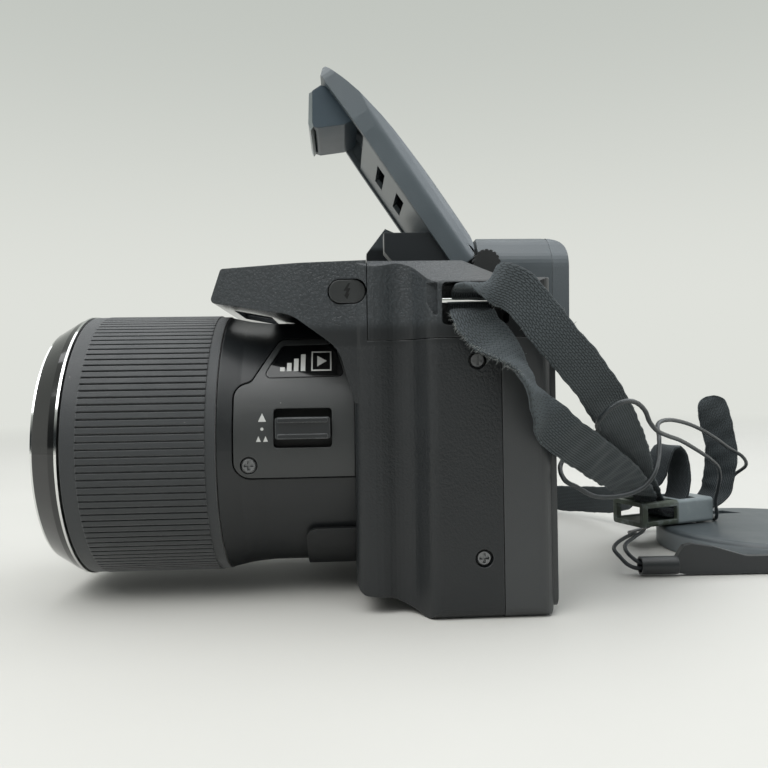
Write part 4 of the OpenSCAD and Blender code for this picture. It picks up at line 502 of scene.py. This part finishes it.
def lining(tree, place):
    """Flash lining: pale slate ABS whose legs, near the hinge, are nearly black."""
    high = add(tree, "SeparateXYZ", {0: place})[2]
    leg = add(tree, "MapRange", {0: high, 1: 0.0845, 2: 0.083, 3: 0.0, 4: 1.0}, **SMOOTH)[0]
    shade = add(tree, "TexNoise", {"Vector": place, "Scale": 1000 / 9, "Detail": 3.0})[0]
    pale = add(tree, "Mix", {0: shade, 6: lin("#555c60"), 7: lin("#656c70")}, **COLOUR)[2]
    colour = add(tree, "Mix", {0: leg, 6: pale, 7: lin("#23272a")}, **COLOUR)[2]
    colour, normal = rubbed(tree, place, colour, 0.2, "#8c8f90")
    return {"Base Color": colour, "Roughness": 0.34, "IOR": 1.53, "Normal": normal}


def metal(colour, rough, scratch):
    """Plated or plain metal with fine scratches, 0.6 mm long, that break up the reflection."""
    def build(tree, place):
        stretched = add(tree, "Mapping", {"Vector": place, "Scale": (1.0, 14.0, 1.0)})[0]
        lines = add(tree, "TexNoise", {"Vector": stretched, "Scale": 1000 / 0.6, "Detail": 3.0})[0]
        dull = add(tree, "TexNoise", {"Vector": place, "Scale": 1000 / 4, "Detail": 3.0})[0]
        gloss = add(tree, "MapRange", {0: lines, 1: 0.3, 2: 0.7, 3: rough * 0.8, 4: rough * 1.3})[0]
        return {"Base Color": add(tree, "Mix", {0: dull, 6: scaled(colour, 0.88), 7: colour}, **COLOUR)[2],
                "Metallic": 1.0, "Roughness": gloss,
                "Normal": add(tree, "Bump", {"Height": lines, "Strength": scratch, "Distance": 0.02 * MM})[0]}
    return build


def clear_glass(tree, place):
    """Optical glass with a quarter-wave coating: a green to magenta tint where it mirrors, faint smears."""
    smear = add(tree, "TexNoise", {"Vector": place, "Scale": 1000 / 6, "Detail": 3.0})[0]
    return {"Base Color": (0.96, 0.98, 0.97, 1), "Transmission Weight": 1.0, "IOR": 1.52,
            "Thin Film Thickness": 420.0, "Thin Film IOR": 1.38,
            "Roughness": add(tree, "MapRange", {0: smear, 1: 0.4, 2: 0.8, 3: 0.02, 4: 0.06}, **SMOOTH)[0]}


def ribbed_clear(tree, place):
    """Flash window in clear acrylic: upright ribs, 1 mm apart, that spread the light; it looks milky."""
    wave = add(tree, "TexWave", {"Vector": place, "Scale": 157.0}, bands_direction="X")["Fac"]
    haze = add(tree, "TexNoise", {"Vector": place, "Scale": 1000 / 5, "Detail": 3.0})[0]
    return {"Base Color": add(tree, "Mix", {0: haze, 6: lin("#8d9696"), 7: lin("#a9b1b1")}, **COLOUR)[2],
            "Transmission Weight": 0.35, "IOR": 1.49, "Roughness": 0.28,
            "Normal": add(tree, "Bump", {"Height": wave, "Strength": 0.7, "Distance": 0.2 * MM})[0]}


def woven(pale):
    """Black nylon webbing: slanting floats of yarn, 1.0 x 0.5 mm, with pale streaks along the fibres as a
    painted highlight and near black gaps between the floats as painted shade, lint caught in it and a soft
    sheen. The fibres are drawn at
    0.12 mm, coarser than they are."""
    def build(tree, place):
        run = add(tree, "UVMap", uv_map="run")[0]
        sway = add(tree, "TexNoise", {"Vector": run, "Scale": 1000 / 3, "Detail": 2.0})["Color"]
        sway = add(tree, "VectorMath", {0: sway, 1: (0.3 * MM, 0.15 * MM, 0), 2: run},
                   operation="MULTIPLY_ADD")[0]
        across = add(tree, "SeparateXYZ", {0: run})[1]
        slant = add(tree, "Math", {0: across, 1: YARN_W * MM}, operation="PINGPONG")[0]
        slant = add(tree, "CombineXYZ", {0: slant})[0]
        uneven = add(tree, "VectorMath", {0: sway, 1: slant}, operation="ADD")[0]
        gap = add(tree, "TexBrick", {"Vector": uneven, "Scale": 1000.0, "Brick Width": YARN_LONG,
                                     "Row Height": YARN_W, "Mortar Size": 0.14, "Mortar Smooth": 1.0},
                  offset=0.5)["Fac"]
        fine = add(tree, "Mapping", {"Vector": run, "Scale": (0.3, 1.0, 1.0)})[0]
        fibre = add(tree, "TexNoise", {"Vector": fine, "Scale": 1000 / 0.12, "Detail": 2.0})[0]
        patches = add(tree, "TexNoise", {"Vector": place, "Scale": 1000 / 7, "Detail": 3.0})[0]
        yarn = add(tree, "Mix", {0: patches, 6: lin("#2f3639"), 7: lin("#434b4f")}, **COLOUR)[2]
        # Painted highlight: pale streaks of fibre on the yarn
        lit = add(tree, "Math", {0: fibre, 1: 0.5}, operation="MULTIPLY")[0]
        yarn = add(tree, "Mix", {0: lit, 6: yarn, 7: lin("#5f6668")}, **COLOUR)[2]
        # Painted shade: the gaps between the floats are near black
        colour = add(tree, "Mix", {0: gap, 6: yarn, 7: lin("#111416")}, **COLOUR)[2]
        colour = dusted(tree, place, colour, 1.6, 0.10, 0.07, pale)
        deep = add(tree, "Math", {0: fibre, 1: gap}, operation="SUBTRACT")[0]
        return {"Base Color": colour, "Roughness": 0.78, "Sheen Weight": 0.25, "Sheen Roughness": 0.4,
                "Sheen Tint": lin("#aab2b6"),
                "Normal": add(tree, "Bump", {"Height": deep, "Strength": 0.5, "Distance": 0.10 * MM})[0]}
    return build


def loose_fibre(tree, place):
    """Broken nylon filaments on the worn edges: pale grey, because single fibres scatter the light."""
    shade = add(tree, "TexNoise", {"Vector": place, "Scale": 1000 / 2, "Detail": 2.0})[0]
    return {"Base Color": add(tree, "Mix", {0: shade, 6: lin("#565c5d"), 7: lin("#a3a7a3")}, **COLOUR)[2],
            "Roughness": 0.6, "Sheen Weight": 0.3}


def braided(tree, place):
    """Thin braided nylon cord: fine crossing diagonals, 0.7 mm apart, and a dull gloss."""
    part = add(tree, "SeparateXYZ", {0: add(tree, "UVMap", uv_map="run")[0]})
    both = []
    for operation in ("ADD", "SUBTRACT"):
        run = add(tree, "Math", {0: part[0], 1: part[1]}, operation=operation)[0]
        run = add(tree, "Math", {0: run, 1: 2 * math.pi / (0.7 * MM)}, operation="MULTIPLY")[0]
        both.append(add(tree, "Math", {0: run}, operation="SINE")[0])
    height = add(tree, "Math", {0: both[0], 1: both[1]}, operation="MAXIMUM")[0]
    shade = add(tree, "TexNoise", {"Vector": place, "Scale": 1000 / 5, "Detail": 3.0})[0]
    return {"Base Color": add(tree, "Mix", {0: shade, 6: lin("#1c2022"), 7: lin("#2f3538")}, **COLOUR)[2],
            "Roughness": 0.4,
            "Normal": add(tree, "Bump", {"Height": height, "Strength": 0.35, "Distance": 0.05 * MM})[0]}


SLIDER_YAW = math.radians(110)
SLIDER_RUN = (math.cos(SLIDER_YAW), math.sin(SLIDER_YAW), 0)
SLIDER_MID = (-27 * SLIDER_RUN[0] + 65.5 * SLIDER_RUN[1]) * MM


def two_tone_slider(tree, place):
    """Strap slider in moulded acetal: a pale grey block and a darker olive open frame, scuffed and matt."""
    run = add(tree, "VectorMath", {0: place, 1: SLIDER_RUN}, operation="DOT_PRODUCT")["Value"]
    pale = add(tree, "MapRange", {0: run, 1: SLIDER_MID - 0.0003, 2: SLIDER_MID + 0.0003, 3: 0.0, 4: 1.0})[0]
    colour = add(tree, "Mix", {0: pale, 6: lin("#4b5348"), 7: lin("#8d979a")}, **COLOUR)[2]
    scuffs = add(tree, "TexNoise", {"Vector": place, "Scale": 1000 / 2.5, "Detail": 3.0})[0]
    scuffs = add(tree, "MapRange", {0: scuffs, 1: 0.45, 2: 0.8, 3: 0.0, 4: 0.6}, **SMOOTH)[0]
    colour = add(tree, "Mix", {0: scuffs, 6: colour, 7: lin("#9ba4a6")}, **COLOUR)[2]
    colour, normal = rubbed(tree, place, colour, 0.6, "#a3abac")
    return {"Base Color": colour, "Roughness": 0.45, "IOR": 1.48, "Normal": normal}


def cap_face(tree, place):
    """Lens cap in moulded ABS: a fine matt grey top in patches, dust, and a rim and trenches below the top
    painted pale grey as a painted light where the rim lies in shade.
    """
    high = add(tree, "SeparateXYZ", {0: place})[2]
    top = add(tree, "MapRange", {0: high, 1: 0.0046, 2: 0.0052, 3: 0.0, 4: 1.0}, **SMOOTH)[0]
    patches = add(tree, "TexNoise", {"Vector": place, "Scale": 1000 / 14, "Detail": 3.0})[0]
    grey = add(tree, "Mix", {0: patches, 6: lin("#40474a"), 7: lin("#4d5457")}, **COLOUR)[2]
    # Painted light: everything below the top face, the rim and the trenches, takes the pale grey
    colour = add(tree, "Mix", {0: top, 6: lin("#80878a"), 7: grey}, **COLOUR)[2]
    colour = dusted(tree, place, colour, 3.0, 0.15, 0.04, "#a0a3a0")
    pits = add(tree, "TexNoise", {"Vector": place, "Scale": 1000 / 0.35, "Detail": 3.0})[0]
    return {"Base Color": colour, "IOR": 1.53,
            "Roughness": add(tree, "MapRange", {0: patches, 1: 0.3, 2: 0.7, 3: 0.38, 4: 0.5}, **SMOOTH)[0],
            "Normal": add(tree, "Bump", {"Height": pits, "Strength": 0.35, "Distance": 0.04 * MM})[0]}


def printed(code, rough):
    """Pad-printed ink or foil: thin, a little uneven where it has rubbed away, in spots of 0.5 mm."""
    def build(tree, place):
        fade = add(tree, "TexNoise", {"Vector": place, "Scale": 1000 / 0.5, "Detail": 2.0})[0]
        full = lin(code)
        colour = add(tree, "Mix", {0: fade, 6: scaled(full, 0.8), 7: full}, **COLOUR)[2]
        return {"Base Color": colour, "Roughness": rough}
    return build


def board(tree, place):
    """Circuit board: green solder mask over a 4 mm grid of copper tracks."""
    tracks = add(tree, "TexBrick", {"Vector": place, "Scale": 260.0, "Mortar Size": 0.03})["Fac"]
    return {"Base Color": add(tree, "Mix", {0: tracks, 6: lin("#1f5a3a"), 7: lin("#3a7a4e")}, **COLOUR)[2],
            "Roughness": 0.35}


looks = {
    # ABS from an etched mould, pebbled on the hood and leather-grained on the side: a painted highlight on
    # the grain crowns, strong on the hood, over dark
    "grained_abs": (moulded("#181b1d", 0.40,
                            [(0.62, 0.10, 0.9, hood_region), (0.55, 0.07, 0.1, panel_region)],
                            0.05, 0.25, under=0.12), "front_cover top_cover"),
    # The same ABS from a polished mould: broad soft highlights, fine pits only
    "smooth_abs": (moulded("#383a3b", 0.40, [(0.3, 0.012, 0, None)], 0.04, 0.2), "rear_cover battery_door"),
    # Satin ABS of the viewfinder hump, painted greyer than the body ABS as a painted light from above
    "viewfinder_abs": (moulded("#4d5458", 0.42, [(0.3, 0.010, 0, None)], 0.03, 0.2), "evf_housing"),
    # Bonded elastomer skin with deep leather cells, matt, with a painted highlight on the cell crowns
    "grip_elastomer": (moulded("#161718", 0.62, [(1.1, 0.16, 0.3, None)], 0.03, 0.0, sheen=0.1),
                       "grip_rubber"),
    # Ribbed rubber of the lens sleeve, greyed by the dust that its matt surface holds, with a faint painted
    # highlight on the grain crowns
    "sleeve_rubber": (moulded("#202325", 0.60, [(0.25, 0.03, 0.2, None)], 0.18, 0.35, patch=8, spread=0.22,
                              sheen=0.4), "lens_sleeve"),
    # Satin polycarbonate from a spark-eroded mould: fine even texture, soft sheen
    "barrel_polycarbonate": (moulded("#1a1d1f", 0.40, [(0.22, 0.012, 0, None)], 0.03, 0.15),
                             "lens_barrel zoom_tube_rear zoom_tube_front"),
    # The zoom plate and the flash button in the same resin, polished a little by the thumb
    "plate_polycarbonate": (moulded("#313333", 0.38, [(0.22, 0.012, 0, None)], 0.04, 0.3),
                            "zoom_plate flash_button"),
    # The rocker in the same resin, pale along its ridges from a little rubbing by fingers and, at this
    # amount, mostly from a painted highlight along them
    "rubbed_and_highlit_polycarbonate": (moulded("#222527", 0.34, [(0.22, 0.008, 0, None)], 0.02, 0.9),
                             "zoom_rocker"),
    # Lacquered ring and badge: a sharp dark mirror of the room
    "black_lacquer": (moulded("#08090a", 0.10, dust=0.02, spread=0.1, coat=0.3), "lens_bezel badge_plate"),
    # Bluish grey satin ABS of the flash housing, scuffed pale along its edges
    "flash_abs": (moulded("#50595e", 0.45, [(0.3, 0.014, 0, None)], 0.05, 0.5), "flash_cover"),
    # Paler, glossier lining under the flash, moulded with its dark legs
    "flash_lining": (lining, "flash_inner_plate"),
    # Dark slate block that carries the lamp
    "lamp_block_abs": (moulded("#404d56", 0.38, [(0.3, 0.008, 0, None)], 0.03, 0.2), "flash_lamp_block"),
    # Rubber of the eyecup, painted grey to the tone of the hump in front of it, a painted light from above
    "eyecup_rubber": (moulded("#555c60", 0.52, [(0.3, 0.02, 0, None)], 0.05, 0.1, sheen=0.1), "evf_eyecup"),
    # Soft rubber of the doors and keys: matt, greyed on its edges
    "soft_rubber": (moulded("#1c1e1f", 0.58, [(0.3, 0.02, 0, None)], 0.05, 0.1, sheen=0.1),
                    "terminal_door diopter_dial playback_button movie_button ok_button"),
    # Knobs, dials and the bead of the cord in satin acetal with polished edges
    "control_acetal": (moulded("#26292b", 0.36, [(0.25, 0.010, 0, None)], 0.03, 0.35),
                       "shutter_button zoom_lever mode_dial command_dial power_switch selector_ring "
                       "tether_bead"),
    # Chromed trim, blackened and plain steel, stamped alloy, foil: told apart by brightness and scratches
    "bright_chrome": (metal((0.80, 0.81, 0.80, 1), 0.10, 0.10), "lens_bright_rings strap_lugs"),
    "plain_steel": (metal((0.52, 0.52, 0.51, 1), 0.30, 0.25),
                    "battery_door_pin terminal_block tripod_socket flash_hinge_pin flash_spring"),
    "blackened_screw_steel": (metal((0.23, 0.235, 0.24, 1), 0.40, 0.3), "case_screws"),
    "stamped_alloy": (metal((0.60, 0.60, 0.59, 1), 0.38, 0.3), "inner_chassis"),
    "mirror_foil": (metal((0.90, 0.90, 0.89, 1), 0.08, 0.2), "flash_reflector"),
    "coated_glass": (clear_glass, "front_lens zoom_group_lens evf_lens flash_tube"),
    "ribbed_acrylic": (ribbed_clear, "flash_window"),
    # Smoked acrylic over the rear screen: black mirror with faint smears
    "smoked_acrylic": (moulded("#08090a", 0.08, dust=0.03, spread=0.1, coat=0.6), "screen_window"),
    # Unlit displays and the sensor behind glass: almost black, bluish
    "dark_display": (moulded("#0c0e12", 0.20), "screen_panel evf_display image_sensor"),
    # Glass-filled resin of the inner frames: dull black
    "filled_resin": (moulded("#161718", 0.55, [(0.4, 0.02, 0, None)]), "lens_chassis battery_box"),
    # Shrunk sleeve on cells and capacitor: smooth grey film
    "cell_jacket": (moulded("#3c4147", 0.30, dust=0.02, edge_wear_and_highlight=0.3), "aa_cells flash_capacitor"),
    "circuit_board": (board, "main_board"),
    "nylon_webbing": (woven("#7c7f7c"), "neck_strap strap_roll"),
    "braided_cord": (braided, "cap_tether"),
    "slider_acetal": (two_tone_slider, "strap_slider"),
    "cap_abs": (cap_face, "lens_cap"),
    # Marks: silver ink, black ink and the red of a record key
    "silver_ink": (printed("#c9cac6", 0.35), ""),
    "black_ink": (printed("#08090a", 0.45), ""),
    "red_ink": (printed("#a3201c", 0.40), ""),
    "broken_fibre": (loose_fibre, ""),
}
made = {}
for name, (build, wearers) in looks.items():
    made[name] = surface(name, build)
    for wearer in wearers.split():
        slots = nodes[wearer].data.materials
        slots.clear()
        slots.append(made[name])
finishes = [(main_strap, "nylon_webbing"), (tail_strap, "nylon_webbing"), (fuzz, "broken_fibre"),
            (tether, "braided_cord"), (bolt_sign, "black_ink"), (movie_dot, "red_ink")]
finishes += [(sign, "silver_ink") for sign in silver_signs]
for obj, name in finishes:
    obj.data.materials.append(made[name])

# Stage: pale floor that runs into a pale backdrop, soft light from above, in front and behind
FLOOR_HALF, FLOOR_NEAR, FLOOR_FAR = 6, 0.22, 1.0
FLOOR_GREY = "#cbcac4"
HORIZON = lin("#dfe1db")
TOP_GREY = lin("#c0c4be")
ROOM_GREY = lin("#2c3031")


def floor_look(tree, place):
    """Matt paper, a little uneven in patches of 60 mm."""
    shade = add(tree, "TexNoise", {"Vector": place, "Scale": 1000 / 60, "Detail": 3.0})[0]
    grey = lin(FLOOR_GREY)
    colour = add(tree, "Mix", {0: shade, 6: scaled(grey, 0.97), 7: scaled(grey, 1.03)}, **COLOUR)[2]
    return {"Base Color": colour, "Roughness": 0.6, "Specular IOR Level": 0.2}


def sees_backdrop(tree):
    """1 for the rays that show the backdrop: from the camera, in a reflection or through glass."""
    ray = add(tree, "LightPath")
    mirror = add(tree, "Math", {0: ray["Is Glossy Ray"], 1: ray["Is Transmission Ray"]},
                 operation="MAXIMUM")[0]
    return add(tree, "Math", {0: ray["Is Camera Ray"], 1: mirror}, operation="MAXIMUM")[0]


floor_mesh = bpy.data.meshes.new("floor")
corners = [(-FLOOR_HALF, -FLOOR_HALF, 0), (FLOOR_HALF, -FLOOR_HALF, 0),
           (FLOOR_HALF, FLOOR_HALF, 0), (-FLOOR_HALF, FLOOR_HALF, 0)]
floor_mesh.from_pydata(corners, [], [(0, 1, 2, 3)])
floor = bpy.data.objects.new("floor", floor_mesh)
scene.collection.objects.link(floor)
paper = surface("floor_paper", floor_look)
tree = paper.node_tree
lit = next(n for n in tree.nodes if n.type == "BSDF_PRINCIPLED").outputs[0]
end = next(n for n in tree.nodes if n.type == "OUTPUT_MATERIAL")
far = add(tree, "VectorMath", {0: add(tree, "TexCoord")["Object"]}, operation="LENGTH")["Value"]
far = add(tree, "MapRange", {0: far, 1: FLOOR_NEAR, 2: FLOOR_FAR, 3: 0.0, 4: 1.0}, **SMOOTH)[0]
shown = add(tree, "Math", {0: far, 1: sees_backdrop(tree)}, operation="MULTIPLY")[0]
glow = add(tree, "Emission", {"Color": HORIZON, "Strength": 1.0})[0]
tree.links.new(add(tree, "MixShader", {0: shown, 1: lit, 2: glow})[0], end.inputs[0])
floor_mesh.materials.append(paper)

world = bpy.data.worlds.new("studio")
scene.world = world
world.use_nodes = True
tree = world.node_tree
tree.nodes.clear()
way = add(tree, "SeparateXYZ", {0: add(tree, "TexCoord")["Generated"]})
tall = add(tree, "MapRange", {0: way[2], 1: 0.08, 2: 0.5, 3: 0.0, 4: 1.0}, **SMOOTH)[0]
back = add(tree, "Mix", {0: tall, 6: HORIZON, 7: TOP_GREY}, **COLOUR)[2]
near = add(tree, "MapRange", {0: way[0], 1: 0.0, 2: 0.7, 3: 0.0, 4: 1.0}, **SMOOTH)[0]
low = add(tree, "MapRange", {0: way[2], 1: 0.6, 2: 0.2, 3: 0.0, 4: 1.0}, **SMOOTH)[0]
room = add(tree, "Math", {0: near, 1: low}, operation="MULTIPLY")[0]
direct = add(tree, "LightPath")["Is Camera Ray"]
room = add(tree, "Math", {0: room, 1: direct}, operation="SUBTRACT", use_clamp=True)[0]
back = add(tree, "Mix", {0: room, 6: back, 7: ROOM_GREY}, **COLOUR)[2]
seen = add(tree, "Background", {"Color": back, "Strength": 1.0})[0]
fill = add(tree, "Background", {"Color": lin("#d4d9da"), "Strength": 0.56})[0]
add(tree, "OutputWorld", {"Surface": add(tree, "MixShader", {0: sees_backdrop(tree), 1: fill, 2: seen})[0]})


def softbox(name, place, aim, size, watts, colour):
    """A rectangular lamp in metres and watts that looks at a point."""
    light = bpy.data.lights.new(name, "AREA")
    light.shape = "RECTANGLE"
    light.size, light.size_y = size
    light.energy = watts
    light.color = lin(colour)[:3]
    obj = bpy.data.objects.new(name, light)
    scene.collection.objects.link(obj)
    obj.location = place
    obj.rotation_euler = (Vector(aim) - Vector(place)).to_track_quat("-Z", "Y").to_euler()


softbox("overhead", (0.05, -0.1, 0.9), (0, 0, 0.03), (1.2, 1.2), 8.8, "#fcfdff")
softbox("front_panel", (0.5, -0.55, 0.85), (0, -0.03, 0.05), (0.8, 0.6), 5.0, "#ffffff")
softbox("back_panel", (-0.35, 0.8, 0.7), (0, 0.03, 0.05), (0.8, 0.7), 4.0, "#f4f8ff")
scene.view_settings.view_transform = "Standard"
